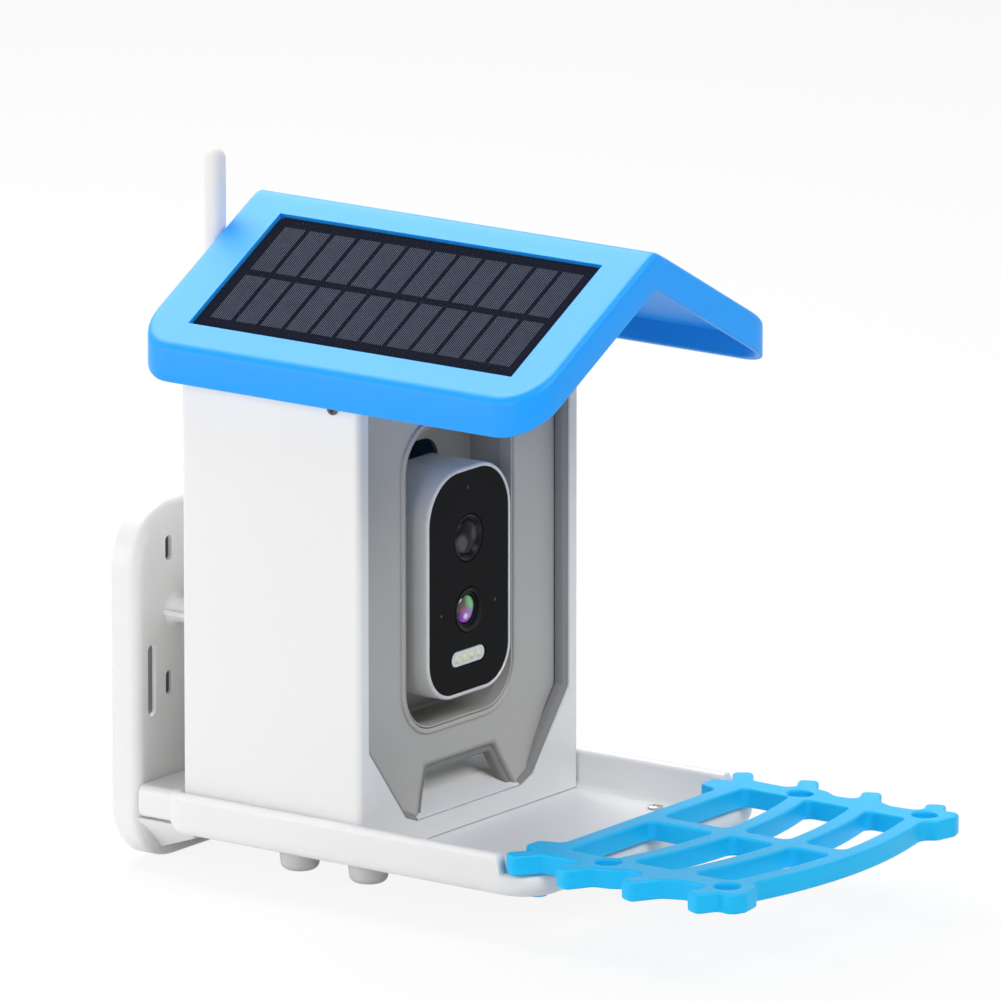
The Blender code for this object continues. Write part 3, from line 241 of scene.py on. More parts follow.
def roundCorners(corners, steps=8):
    # Each corner (u, v, radius) of a closed outline becomes an arc between its two tangent points:
    # the arc's middle stands radius / sin(half angle) from the corner, and the arc is a slerp about it.
    # Where two arcs would share more than their edge, each keeps its share of the edge's length.
    corners = np.asarray(corners, float)
    points, radius = corners[:, :2], np.maximum(corners[:, 2:3], 1e-7)
    toPrior = np.roll(points, 1, axis=0) - points
    toNext = np.roll(points, -1, axis=0) - points
    lengthPrior = np.linalg.norm(toPrior, axis=1, keepdims=True)
    lengthNext = np.linalg.norm(toNext, axis=1, keepdims=True)
    toPrior, toNext = toPrior / lengthPrior, toNext / lengthNext
    half = np.arccos(np.clip((toPrior * toNext).sum(1, keepdims=True), -0.999999, 1)) / 2
    tangent = radius / np.tan(half)
    limitNext = lengthNext * tangent / (tangent + np.roll(tangent, -1, axis=0))
    limitPrior = lengthPrior * tangent / (tangent + np.roll(tangent, 1, axis=0))
    tangent = np.minimum(tangent, np.minimum(limitNext, limitPrior) * 0.995)
    middle = points + (toPrior + toNext) / (2 * np.cos(half)) * tangent / np.cos(half)
    start = (points + toPrior * tangent - middle)[:, None, :]
    end = (points + toNext * tangent - middle)[:, None, :]
    sweep = (math.pi - 2 * half)[:, :, None]
    share = np.linspace(0, 1, steps + 1)[None, :, None]
    arcs = middle[:, None, :] + (np.sin((1 - share) * sweep) * start
                                 + np.sin(share * sweep) * end) / np.sin(sweep)
    path = arcs.reshape(-1, 2)
    return path[np.linalg.norm(path - np.roll(path, 1, axis=0), axis=1) > 6e-6]


def boxOutline(lowU, highU, lowV, highV, radius, steps=8):
    return roundCorners([(lowU, lowV, radius), (highU, lowV, radius), (highU, highV, radius),
                         (lowU, highV, radius)], steps)


def circleOutline(u, v, radius, steps):
    turn = np.linspace(0, 2 * math.pi, steps, endpoint=False)
    return np.stack([u + radius * np.cos(turn), v + radius * np.sin(turn)], 1)


def holePairs(holes):
    # round holes on both sides of the middle, each (x, reach from the front plane, radius, steps)
    return [circleOutline(side * x, frontY - reach, radius, steps)
            for side in (-1, 1) for x, reach, radius, steps in holes]


def evenly(outline, count):
    # the same closed outline, sampled again at even steps of its length
    closed = np.vstack([outline, outline[:1]])
    length = np.concatenate([[0], np.cumsum(np.linalg.norm(np.diff(closed, axis=0), axis=1))])
    where = np.linspace(0, length[-1], count, endpoint=False)
    return np.stack([np.interp(where, length, closed[:, 0]), np.interp(where, length, closed[:, 1])], 1)


def outwards(outline):
    # unit normals of an outline that runs counter-clockwise, each halfway between its two sides'
    ahead = np.roll(outline, -1, axis=0) - outline
    ahead /= np.linalg.norm(ahead, axis=1, keepdims=True)
    middle = ahead + np.roll(ahead, 1, axis=0)
    middle /= np.linalg.norm(middle, axis=1, keepdims=True)
    cosine = np.clip((middle * ahead).sum(1, keepdims=True), 0.5, 1)
    return np.stack([middle[:, 1], -middle[:, 0]], 1) / cosine


def onAxis(flat, height, axis):
    # points of a plane, set at a height along the axis that stands on it
    u, v = flat[..., 0], flat[..., 1]
    height = np.broadcast_to(height, u.shape)
    return np.stack({"X": (height, u, v), "Y": (u, height, v), "Z": (u, v, height)}[axis], -1)


def swept(outline, profile, axis="Y"):
    # A profile of (growth, height) pairs carried round an outline: each ring is the outline moved out
    # by the growth along its normals, and set at the height along the axis.
    growth, height = np.asarray(profile, float).T[:, :, None]
    return onAxis(outline[None] + outwards(outline)[None] * growth[..., None], height, axis)


def arcProfile(growthStart, heightStart, growthEnd, heightEnd, bulge, steps=5, begin=0.0):
    # A quarter ellipse between two profile points, from an angle at which it begins; bulge "growth"
    # leaves along the growth first.
    turn = np.linspace(begin, math.pi / 2, steps + 1)
    first, second = np.sin(turn), 1 - np.cos(turn)
    if bulge == "height":
        first, second = second, first
    return [(growthStart + (growthEnd - growthStart) * a, heightStart + (heightEnd - heightStart) * b)
            for a, b in zip(first, second)]


def skinFaces(grid):
    # quads between the rows of a grid of point numbers, each row a closed ring
    near, far = grid[:-1], grid[1:]
    return np.stack([near, np.roll(near, -1, 1), np.roll(far, -1, 1), far], -1).reshape(-1, 4).tolist()


def ringMesh(rings, ends="caps"):
    # Rings of like counts become a skin of quads. Ends are flat caps, or the last ring joins the first.
    rings = np.asarray(rings, float)
    grid = np.arange(rings[..., 0].size).reshape(rings.shape[:2])
    if ends == "loop":
        grid = np.vstack([grid, grid[:1]])
    faces = skinFaces(grid)
    if ends == "caps":
        faces += [grid[0][::-1].tolist(), grid[-1].tolist()]
    return meshOf(rings.reshape(-1, 3), faces)


def meshOf(vertices, faces):
    mesh = bpy.data.meshes.new("shape")
    mesh.from_pydata(np.asarray(vertices).tolist(), [], faces)
    return healed(mesh, 1e-6)


def lathe(profile, center, axis="Y", around=64):
    # a profile of (radius, height) pairs turned about an axis through a centre
    radius, height = np.asarray(profile, float).T[:, :, None]
    flat = radius[..., None] * circleOutline(0, 0, 1, around)[None]
    mesh = ringMesh(onAxis(flat, height, axis), "caps" if min(profile[0][0], profile[-1][0]) > 0 else "open")
    mesh.transform(Matrix.Translation(Vector(center)))
    return mesh


def flatPlate(outlines, low, high, axis, rounding, steps):
    # A plate from an outer outline and its holes, filled, with every edge rounded by the curve's own
    # bevel, and turned from +Z to +Y where its axis says so.
    curve = bpy.data.curves.new("plate", "CURVE")
    curve.dimensions, curve.fill_mode = "2D", "BOTH"
    curve.extrude = (high - low) / 2 - rounding
    curve.bevel_depth, curve.bevel_resolution = rounding, steps
    curve.offset = -rounding
    for index, outline in enumerate(outlines):
        turned = outline if (signedArea(outline) > 0) == (index == 0) else outline[::-1]
        spline = curve.splines.new("POLY")
        spline.points.add(len(turned) - 1)
        spots = np.column_stack([turned, np.zeros(len(turned)), np.ones(len(turned))])
        spline.points.foreach_set("co", spots.astype(np.float32).ravel())
        spline.use_cyclic_u = True
    holder = placed("plate", curve)
    mesh = bpy.data.meshes.new_from_object(holder.evaluated_get(bpy.context.evaluated_depsgraph_get()))
    bpy.data.objects.remove(holder)
    mesh.transform(Matrix.Translation((0, 0, (high + low) / 2)))
    if axis == "Y":
        mesh.transform(Matrix(((1, 0, 0, 0), (0, 0, 1, 0), (0, 1, 0, 0), (0, 0, 0, 1))))
    return healed(mesh, 4e-6)


def signedArea(outline):
    following = np.roll(outline, -1, axis=0)
    return float((outline[:, 0] * following[:, 1] - following[:, 0] * outline[:, 1]).sum() / 2)


def solidCopy(node, rounding, segments, angle=32):
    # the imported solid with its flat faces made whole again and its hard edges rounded
    mesh = nodes[node].data.copy()
    with opened(mesh) as work:
        bmesh.ops.remove_doubles(work, verts=work.verts, dist=2e-6)
        bmesh.ops.dissolve_limit(work, angle_limit=math.radians(1.0), verts=work.verts, edges=work.edges)
        hard = [edge for edge in work.edges
                if edge.is_manifold and edge.calc_face_angle(0) > math.radians(angle)]
        bmesh.ops.bevel(work, geom=hard, offset=rounding, offset_type="OFFSET", segments=segments,
                        profile=0.5, affect="EDGES", clamp_overlap=True)
    return mesh


def piece(name, meshes, finish, body, stands=(), sharp=38.0, flats=False):
    # one finished piece: its meshes joined, shaded smooth up to an angle, and tied to its body
    joined = bpy.data.meshes.new(name)
    with opened(joined) as work:
        for mesh in meshes:
            work.from_mesh(mesh)
    thing = placed(name, joined)
    joined.materials.clear()
    joined.materials.append(finish.material)
    joined.shade_smooth()
    joined.set_sharp_from_angle(angle=math.radians(sharp))
    if flats:
        weighted = thing.modifiers.new("flatFaces", "WEIGHTED_NORMAL")
        weighted.keep_sharp = True
        weighted.weight = 100
    if stands:
        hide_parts(*stands)
    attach(thing, body)


# Roof: a bent sheet with a deep rim, round plan corners, and a sunk field for the solar panel

roofLook = {"ridgeRise": 0.2253, "eaveRise": 0.1798, "cornerRadius": 0.018, "edgeRadius": 0.0024,
            "band": 0.0150, "skin": 0.0060, "wall": 0.0030, "ridgeSoft": 0.0016, "foot": 0.0011,
            "fieldFront": 0.0182, "fieldBack": 0.0194, "fieldRidge": 0.0122, "fieldEave": 0.0140,
            "fieldDepth": 0.0034, "fieldRows": 22, "cornerTurns": (90, 82, 74, 65, 56, 47, 38, 29, 20, 10),
            "columns": (0.0006, 0.0012, 0.002, 0.003, 0.0045, 0.007, 0.011, 0.018, 0.028, 0.040, 0.052),
            "ridgeColumns": 6, "stretch": (0.35, 0.6, 0.8, 0.92, 1.0)}
roofLow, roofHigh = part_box("roof_shell")
roofHalf = roofHigh.x
roofFall = (roofLook["ridgeRise"] - roofLook["eaveRise"]) / roofHalf
roofAngle = math.atan(roofFall)
ridgeZ = rimZ + roofLook["ridgeRise"]
roofMiddleY = (roofLow.y + roofHigh.y) / 2
roofReach = (roofHigh.y - roofLow.y) / 2
slopeLength = roofHalf / math.cos(roofAngle)
fieldLow, fieldHigh = roofLow.y + roofLook["fieldFront"], roofHigh.y - roofLook["fieldBack"]
fieldNear, fieldFar = roofLook["fieldRidge"], slopeLength - roofLook["fieldEave"]


def gableHeight(x):
    # the roof's top: it falls evenly to both sides of a ridge that a hyperbola rounds
    return ridgeZ - roofFall * np.sqrt(x * x + roofLook["ridgeSoft"] ** 2)


def roofSheet(inset, drop=0.0, sunk=False):
    # One sheet of the roof over columns across it and rows along it. Columns near the eaves follow the
    # plan's corner arcs, rows near the gables stretch to meet them, and the field is moved square to
    # the slope by its depth.
    look = roofLook
    radius = look["cornerRadius"]
    straight, spread, reach = roofHalf - radius, radius - inset, roofReach - inset
    arc = np.radians(np.array(look["cornerTurns"], float))
    farX = fieldFar * math.cos(roofAngle)
    fieldTurn = math.asin((farX - straight) / (radius - look["edgeRadius"]))
    left = np.sort(np.concatenate([arc, [fieldTurn, fieldTurn]]))[::-1]
    steps, ridge = np.array(look["columns"]), look["ridgeColumns"]
    inner = np.concatenate([[-straight], -steps[:ridge:-1], [-fieldNear * math.cos(roofAngle)] * 2,
                            -steps[ridge - 1::-1], [0], steps, [straight]])
    columns = np.concatenate([-straight - spread * np.sin(left), inner,
                              straight + spread * np.sin(arc[::-1])])
    extent = np.concatenate([roofReach - radius + spread * np.cos(left), np.full(len(inner), reach),
                             roofReach - radius + spread * np.cos(arc[::-1])])
    low, high = fieldLow - roofMiddleY, fieldHigh - roofMiddleY
    core = np.concatenate([[low], np.linspace(low, high, look["fieldRows"]), [high]])
    stretch = np.array(look["stretch"])[:, None]
    rows = np.vstack([low - stretch[::-1] * (extent + low), np.repeat(core[:, None], len(columns), 1),
                      high + stretch * (extent - high)])
    x = np.repeat(columns[None], len(rows), 0)
    sheet = np.stack([x, rows + roofMiddleY, gableHeight(x) - drop], -1)
    if sunk:
        first, last = int(np.where(left == fieldTurn)[0][1]), len(left) + 5
        mask = np.zeros(sheet.shape)
        mask[len(stretch) + 1:len(stretch) + len(core) - 1, first:last + 1] = look["fieldDepth"]
        sheet += mask * np.array([math.sin(roofAngle), 0, -math.cos(roofAngle)])
    return sheet


def sheetEdge(sheet):
    # the border of a sheet as one closed ring: front row, right column, back row, left column
    return np.concatenate([sheet[0, :-1], sheet[:-1, -1], sheet[-1, :0:-1], sheet[:0:-1, 0]])


def roofMesh():
    # Top sheet and underside sheet, joined by a rim whose rings are the sheets' border at growing depth:
    # each ring's inset runs from the top's edge out to the face, down it, and in to the inner wall.
    look = roofLook
    edge, band, skin, wall, foot = look["edgeRadius"], look["band"], look["skin"], look["wall"], look["foot"]
    inner = foot * 0.8
    profile = arcProfile(edge, 0, 0, -edge, "growth", 6)
    profile += [(0, -band * 0.5)] + arcProfile(0, -band + foot, foot, -band, "height", 4)
    profile += arcProfile(wall - inner, -band, wall, -band + inner, "growth", 3)
    profile += [(wall, -band * 0.7), (wall, -skin)]
    rings = np.array([sheetEdge(roofSheet(inset)) for inset, drop in profile])
    rings[..., 2] = gableHeight(rings[..., 0]) + np.array([drop for inset, drop in profile])[:, None]
    vertices, faces, start = [], [], 0
    for sheet in (roofSheet(edge, 0, True), roofSheet(wall, skin)):
        grid = np.arange(sheet[..., 0].size).reshape(sheet.shape[:2]) + start
        corners = grid[:-1, :-1], grid[:-1, 1:], grid[1:, 1:], grid[1:, :-1]
        faces += np.stack(corners, -1).reshape(-1, 4).tolist()
        vertices.append(sheet.reshape(-1, 3))
        start += grid.size
    faces += skinFaces(np.arange(rings[..., 0].size).reshape(rings.shape[:2]) + start)
    return meshOf(np.concatenate([*vertices, rings.reshape(-1, 3)]), faces)


piece("roofShell", [roofMesh()], bluePlastic, "roof", ["roof_shell"], sharp=50)


# Solar panel: a dark laminate with two rows of cells, under a thin clear sheet

solarLook = {"gap": 0.0003, "boardLow": 0.0031, "boardThick": 0.0016, "coverThick": 0.0005, "corner": 0.0028,
             "ease": 0.00025, "cellRows": 2, "cellsInRow": 12, "borderRidge": 0.0040, "borderEave": 0.0050,
             "borderEnds": 0.0046, "rowGap": 0.0034, "cellGap": 0.0020, "fingersInCell": 11,
             "fingerShare": 0.16, "fingerSoft": 0.12, "lineSoft": 0.0002, "navy": (0.0075, 0.0090, 0.0170),
             "cell": (0.0070, 0.0085, 0.0165), "finger": (0.0900, 0.1000, 0.1400)}
slopeFrame = Matrix(((-math.cos(roofAngle), 0, -math.sin(roofAngle), 0), (0, 1, 0, 0),
                     (-math.sin(roofAngle), 0, math.cos(roofAngle), ridgeZ), (0, 0, 0, 1)))


def solarSlab(low, thick):
    # a round-cornered slab in the slope's own plane, with eased upper edges
    look = solarLook
    gap, ease, high = look["gap"], look["ease"], low + thick
    outline = boxOutline(fieldNear + gap, fieldFar - gap, fieldLow + gap, fieldHigh - gap, look["corner"])
    mesh = ringMesh(swept(outline, [(-ease, low), (0, low + ease), (0, high - ease), (-ease, high)], "Z"))
    mesh.transform(slopeFrame)
    return healed(mesh, 1e-6)


def solarFinish():
    # Down the slope two rows, along it twelve cells each with fine metal fingers: every line is the
    # distance from the middle of a repeat, folded by its pitch.
    look = solarLook
    finish = Finish("solarLaminate", roughness=0.5, specular=0.0)
    down = finish.along(-math.cos(roofAngle), 0, -math.sin(roofAngle)) + ridgeZ * math.sin(roofAngle)
    along = finish.along(0, 1, 0)
    topDown, lastDown = fieldNear + look["borderRidge"], fieldFar - look["borderEave"]
    firstY, lastY = fieldLow + look["borderEnds"], fieldHigh - look["borderEnds"]
    rowPitch = (lastDown - topDown) / look["cellRows"]
    cellPitch = (lastY - firstY) / look["cellsInRow"]
    fingerPitch = (cellPitch - look["cellGap"]) / look["fingersInCell"]
    inField = [(spot - (first + last) / 2).maths("ABSOLUTE").below((last - first) / 2, look["lineSoft"] / 2)
               for spot, first, last in ((down, topDown, lastDown), (along, firstY, lastY))]
    inCell = inField[0] * inField[1]
    for spot, pitch, gap in ((down - topDown, rowPitch, look["rowGap"]),
                             (along - firstY, cellPitch, look["cellGap"])):
        inCell *= spot.folded(pitch).below((pitch - gap) / 2, look["lineSoft"])
    local = (along - firstY).maths("FLOORED_MODULO", cellPitch) - look["cellGap"] / 2
    finger = inCell * local.folded(fingerPitch).below(fingerPitch * look["fingerShare"],
                                                      fingerPitch * look["fingerSoft"])
    mottle = finish.noise(260.0, 3.0)
    cellColor = finish.mixColors(mottle, look["cell"], tuple(value * 1.35 for value in look["cell"]))
    ground = finish.mixColors(inCell, look["navy"], cellColor)
    finish.set(color=finish.mixColors(finger * (mottle * 0.35 + 0.75), ground, look["finger"]),
               metallic=finger * 0.35)
    return finish


clearSheet = Finish("clearCoverSheet", roughness=0.22, color=(0.05, 0.055, 0.08), specular=0.0)
clearSheet.set(alpha=clearSheet.noise(30.0, 2.0) * 0.03 + 0.05)
boardLow = -solarLook["boardLow"]
coverLow = boardLow + solarLook["boardThick"] + solarLook["gap"]
piece("solarLaminate", [solarSlab(boardLow, solarLook["boardThick"])], solarFinish(), "roof",
      ["solar_board"])
piece("solarCoverSheet", [solarSlab(coverLow, solarLook["coverThick"])], clearSheet, "roof",
      ["solar_cover"])
print("roof and solar panel made")


# House: the shell, the sunk front panel with its bead, and the pocket for the camera

houseLook = {"edge": 0.0009, "recess": 0.0057, "pocketHalf": 0.0355, "pocketLow": 0.0261,
             "pocketHigh": 0.1475, "pocketCorner": 0.018, "beadOut": 0.0010, "beadRadius": 0.0011,
             "beadFlat": 0.9, "beadDeep": 0.0030, "tubGap": 0.00035, "tubWall": 0.0008, "tubStep": 0.0085,
             "tubOut": 0.002, "tubBack": 0.0270, "tubEnd": 0.0290, "tubRound": 0.0012, "lip": 0.0004,
             "lipRound": 0.0005, "leadHalf": 0.0160, "leadLow": 0.1139, "leadHigh": 0.1339,
             "leadCorner": 0.0095, "outletTopHalf": 0.0220, "outletTopRise": 0.0110, "outletSillHalf": 0.0310,
             "outletSill": -0.0070, "outletRound": 0.0045, "panelHalf": 0.0653, "panelThick": 0.0058,
             "panelSoft": 0.0022, "panelRound": 0.0035, "panelSharp": 0.0025, "kneeRise": 0.0268,
             "footHalf": 0.0416, "footRise": -0.0036, "toeHalf": 0.0340, "topDrop": 0.0078,
             "flangeBehind": 0.0012, "flangeIn": 0.004, "flangeOut": 0.0022, "flangeEase": 0.0006,
             # the band entries set the painted shade round the outlet and inside the opening's border
             "bendRise": 0.0250, "bendReach": 0.0043, "shadeBandWidth": 0.0034, "shadeBandStrength": 0.75,
             "shadeBandColor": (0.120, 0.118, 0.116)}
piece("houseShell", [solidCopy("house_shell", houseLook["edge"], 3)], whitePlastic, "house",
      ["house_shell"], flats=True)
sillZ = rimZ + houseLook["outletSill"]
panelFace = frontY + houseLook["recess"]


def pocketOutline(grow=0.0):
    look = houseLook
    return boxOutline(-look["pocketHalf"] - grow, look["pocketHalf"] + grow, rimZ + look["pocketLow"] - grow,
                      rimZ + look["pocketHigh"] + grow, look["pocketCorner"] + grow, 12)


def panelPieces():
    # The panel's outline runs from the right toe up to the gable, down to the left toe and round the
    # outlet. Its edges are softly rounded, a flange stands out behind them, and a half-round bead is
    # swept round the pocket's mouth.
    look = houseLook
    sharp, soft = look["panelSharp"], look["panelRound"]
    half, topX, topZ = look["panelHalf"], look["outletTopHalf"], rimZ + look["outletTopRise"]
    right = [(look["outletSillHalf"], sillZ, sharp), (look["toeHalf"], sillZ, sharp),
             (look["footHalf"], rimZ + look["footRise"], soft), (half, rimZ + look["kneeRise"], soft),
             (half, float(gableHeight(half)) - look["topDrop"], sharp)]
    top = [(0, float(gableHeight(0)) - look["topDrop"], sharp)]
    left = [(-x, z, radius) for x, z, radius in right[::-1]]
    outlet = [(side * topX, topZ, look["outletRound"]) for side in (-1, 1)]
    outline = roundCorners(right + top + left + outlet)
    plate = flatPlate([outline, pocketOutline()], panelFace, panelFace + look["panelThick"], "Y",
                      look["panelSoft"], 5)
    ease, grow, into = look["flangeEase"], look["flangeOut"], -look["flangeIn"]
    near, far = panelFace + look["flangeBehind"], panelFace + look["panelThick"] - ease
    flange = [(into, near), (grow - ease, near), (grow, near + ease), (grow, far), (into, far)]
    out, radius = look["beadOut"], look["beadRadius"]
    bead = [(out + radius * math.cos(turn), panelFace - radius * look["beadFlat"] * math.sin(turn))
            for turn in np.linspace(0, math.pi, 9)]
    bead += [(out - radius, panelFace + look["beadDeep"]), (out + radius, panelFace + look["beadDeep"])]
    return [bentForward(plate), bentForward(ringMesh(swept(outline, flange), "loop")),
            ringMesh(swept(pocketOutline(), bead), "loop")]


def bentForward(mesh):
    # below the pocket the panel leans out: its points come forward by the square of their way down
    high = rimZ + houseLook["bendRise"]
    with opened(mesh) as work:
        for height in np.linspace(high, sillZ, 12)[:-1]:
            bmesh.ops.bisect_plane(work, geom=[*work.verts, *work.edges, *work.faces], dist=1e-6,
                                   plane_co=(0, 0, height), plane_no=(0, 0, 1))
    spots = np.empty(len(mesh.vertices) * 3, np.float32)
    mesh.vertices.foreach_get("co", spots)
    spots = spots.reshape(-1, 3)
    share = np.clip((high - spots[:, 2]) / (high - sillZ), 0, 1)
    spots[:, 1] -= houseLook["bendReach"] * share ** 2
    mesh.vertices.foreach_set("co", spots.ravel())
    return mesh


rampLook = {"half": 0.0333, "slope": 0.42, "near": 0.0006, "far": 0.0130, "lip": 0.0008, "under": 0.0002,
            "round": 0.0003, "skin": 0.0010, "depths": (0.0210, 0.0090, 0.0090, 0.0220),
            "mouth": {"sillHalf": 0.0325, "sill": 0.0035, "topHalf": 0.0250, "top": 0.0128, "corner": 0.004},
            "floor": {"sillHalf": 0.0215, "sill": 0.0100, "topHalf": 0.0195, "top": 0.0118, "corner": 0.003}}


def rampPieces():
    # the ramp's lip between the panel's feet as a wedge, and behind it a cup whose floor rises and whose
    # sides draw in towards its back
    look = rampLook
    near, far, lip = frontY + look["near"], frontY + look["far"], sillZ + look["lip"]
    side = [(near, sillZ + look["under"]), (far, sillZ + look["under"]),
            (far, lip + look["slope"] * (far - near)), (near, lip)]
    wedge = ringMesh(swept(roundCorners([(*spot, look["round"]) for spot in side], 3),
                           [(0, -look["half"]), (0, look["half"])], "X"))
    mouth, floor = (roundCorners([(-end["sillHalf"], sillZ + end["sill"], 0.001),
                                  (end["sillHalf"], sillZ + end["sill"], 0.001),
                                  (end["topHalf"], rimZ + end["top"], end["corner"]),
                                  (-end["topHalf"], rimZ + end["top"], end["corner"])])
                    for end in (look["mouth"], look["floor"]))
    mouthOut, floorOut = (outline + outwards(outline) * look["skin"] for outline in (mouth, floor))
    return [wedge, ringMesh([onAxis(outline, frontY + depth, "Y")
                             for outline, depth in zip((floor, mouth, mouthOut, floorOut), look["depths"])])]


def pocketPieces():
    # a tub wall swept round the mouth, with a thin rounded lip in the panel's opening and a round inner
    # corner behind, closed by a back plate with a wide slot for the lead
    look = houseLook
    outer, inner = -look["tubGap"], -look["tubGap"] - look["tubWall"]
    middle, lip, turn = (outer + inner) / 2, panelFace - look["lip"], look["lipRound"]
    lipEnd, wide = lip + look["panelThick"], look["tubOut"]
    back, end, step, soft = (frontY + look["tubBack"], frontY + look["tubEnd"], frontY + look["tubStep"],
                             look["tubRound"])
    profile = [(wide, step), (wide, end), (-soft, end)] + arcProfile(-soft, back, 0, back - soft, "growth")
    profile += [(0, lipEnd + look["lip"]), (inner, lipEnd), (inner, lip + 0.0006)]
    profile += arcProfile(inner, lip + turn, middle, lip, "height", 3)
    profile += arcProfile(middle, lip, outer, lip + turn, "growth", 3)[1:] + [(outer, step)]
    hole = boxOutline(-look["leadHalf"], look["leadHalf"], rimZ + look["leadLow"], rimZ + look["leadHigh"],
                      look["leadCorner"])
    return [ringMesh(swept(pocketOutline(), profile), "loop"),
            flatPlate([pocketOutline(-soft), hole], back, end, "Y", 0.0003, 1)]


def panelFinish():
    # The panel's plastic with painted shade in two soft darker bands: round the outlet, by the distance
    # outside its sloping sides and top, and inside the opening's border, by the distance from its sides and
    # knees.
    look = houseLook
    finish = moldedPlastic("frontPanelPaintedShadePlastic", shadedPanelLook)
    across = finish.along(1, 0, 0).maths("ABSOLUTE")
    rise = finish.along(0, 0, 1) - rimZ

    def pastSlant(half, height, otherHalf, otherHeight, turn):
        # distance past the line from (half, height) to the other point, to the side that turn tells
        run, tall = abs(half - otherHalf), abs(otherHeight - height)
        slant = math.hypot(run, tall)
        return (across - half) * (turn * tall / slant) + (rise - height) * (run / slant)

    topRise, half = look["outletTopRise"], look["panelHalf"]
    outlet = pastSlant(look["outletSillHalf"], look["outletSill"], look["outletTopHalf"], topRise, 1)
    knee = pastSlant(half, look["kneeRise"], look["footHalf"], look["footRise"], -1)
    # painted shade: both bands darken the colour where the panel meets the outlet and the opening's border
    shadeBands = [edge.below(look["shadeBandWidth"] * 0.5, look["shadeBandWidth"])
             for edge in (outlet.maths("MAXIMUM", rise - topRise), knee.maths("MINIMUM", half - across))]
    plain = Signal(finish, finish.shader.inputs["Base Color"].links[0].from_socket)
    finish.set(color=finish.mixColors(shadeBands[0].maths("MAXIMUM", shadeBands[1]) * look["shadeBandStrength"], plain,
                                      look["shadeBandColor"]))
    return finish


# the path is (x, height over the rim or sill, corner radius), the section (growth, depth behind the front)
grooveLook = {"top": 0.1130, "fade": 0.0150, "faded": 0.1, "half": 0.0658,
              "path": ((0.0340, -0.0070, 0.0025), (0.0420, -0.0040, 0.0035), (0.0658, 0.0266, 0.0035)),
              "section": ((0.0006, 0.0010), (0, 0.0008), (-0.0022, 0.0016), (-0.0027, 0.0024),
                          (-0.0027, 0.0052), (0.0006, 0.0052))}


def groovePieces():
    # A soft step just inside the front wall's opening, on either side: a section carried from the toe up
    # over the knee, that fades out under the roof, below the way of its ears.
    look = grooveLook
    top, half = look["top"], look["half"]
    path = roundCorners([(x, rimZ + rise, radius) for x, rise, radius in look["path"]]
                        + [(half, top - look["fade"], 0), (half, top, 0), (0, top, 0), (0, sillZ, 0)], 6)
    reach = outwards(path) * np.clip((top - path[:, 1]) / look["fade"], look["faded"], 1)[:, None]
    rings = np.stack([onAxis(path + reach * grow, frontY + depth, "Y") for grow, depth in look["section"]])
    rings = rings[:, path[:, 0] > 0.03].transpose(1, 0, 2)
    return [ringMesh(rings), ringMesh(rings * mirrored)]


# the groove's plastic is painted much darker than the panel's: painted shade in the crease at the opening's
# border
grooveShadePlastic = moldedPlastic("recessGroovePaintedShadePlastic", shadedPanelLook, color=(0.250, 0.245, 0.240),
                              colorAway=(0.235, 0.230, 0.225))
piece("recessGroove", groovePieces(), grooveShadePlastic, "house")
piece("frontPanel", panelPieces(), panelFinish(), "house", ["front_panel"], flats=True)
piece("cameraPocket", pocketPieces(), shadedPanelPlastic, "house", ["camera_pocket"], flats=True)
piece("seedRamp", rampPieces(), whitePlastic, "house", ["seed_ramp"], flats=True)
print("house made")


# Camera: case, bezel, glossy black window, motion lens, camera lens and lamps

# Turned shapes are (radius, depth behind the window's face). Glints are painted reflections, round patches
# on a lens: (x, z, radius, soft edge, strength, colour) from its middle.
cameraLook = {"half": 0.0274, "low": 0.0370, "high": 0.1280, "topCorner": 0.0205, "footCorner": 0.0165,
              "front": 0.0002, "back": 0.0267, "backEase": 0.0012, "seam": 0.0042, "wall": 0.0018,
              "bezel": 0.0015, "bezelRound": 0.0011, "bezelStep": 0.0003, "windowStep": 0.0004,
              "windowThick": 0.0016, "windowEdge": 0.00022, "windowGap": 0.0001, "holeGap": 0.0002,
              "motionRise": 0.0995, "motionRadius": 0.0094, "lensRise": 0.0707, "lensRadius": 0.0088,
              "lampRise": 0.0520, "lampHalf": 0.0108, "lampTall": 0.0031, "lampPitch": 0.0048,
              "lampRound": 0.96, "lampSunk": 0.0003, "motionCore": 0.0066, "motionGroove": 0.0009,
              "pinholeRadius": 0.0007, "pinholes": ((0, 0.1196), (-0.0175, 0.0714), (0.0175, 0.0714))}
plugShape = ((0, 0.0005), (0.0004, 0.0004), (0.0007, 0.0003), (0.0007, 0.0014), (0, 0.0014))
motionShape = ((0, 0.0002), *arcProfile(0, 0.0002, 0.0068, 0.0014, "growth", 8, 0.15), (0.0072, 0.0016),
               (0.0084, 0.0003), (0.0089, 0), (0.0093, 0.0002), (0.0094, 0.0016), (0, 0.0016))
barrelShape = ((0.0059, 0.0050), (0.0059, 0.0018), (0.0063, 0.0012), (0.0070, 0.0012), (0.0072, 0.0004),
               (0.0080, 0.0001), (0.0086, -0.0004), (0.0088, 0), (0.0088, 0.0068), (0.0059, 0.0068),
               (0.0059, 0.0050))
glassShape = (*arcProfile(0, 0.0002, 0.0058, 0.0022, "growth", 10), (0.0058, 0.0034), (0, 0.0034))
beadShape = ((0, -0.00045), (0.0008, -0.00038), (0.0013, -0.0001), (0.0016, 0.0003), (0.0016, 0.0007),
             (0, 0.0007))
# pale patches painted on the motion lens as painted reflections
motionPaintedGlints = ((-0.0042, -0.0022, 0.0036, 0.0022, 1.0, (0.090, 0.090, 0.092)),
                (0.0050, 0.0012, 0.0030, 0.0024, 0.8, (0.060, 0.060, 0.062)))
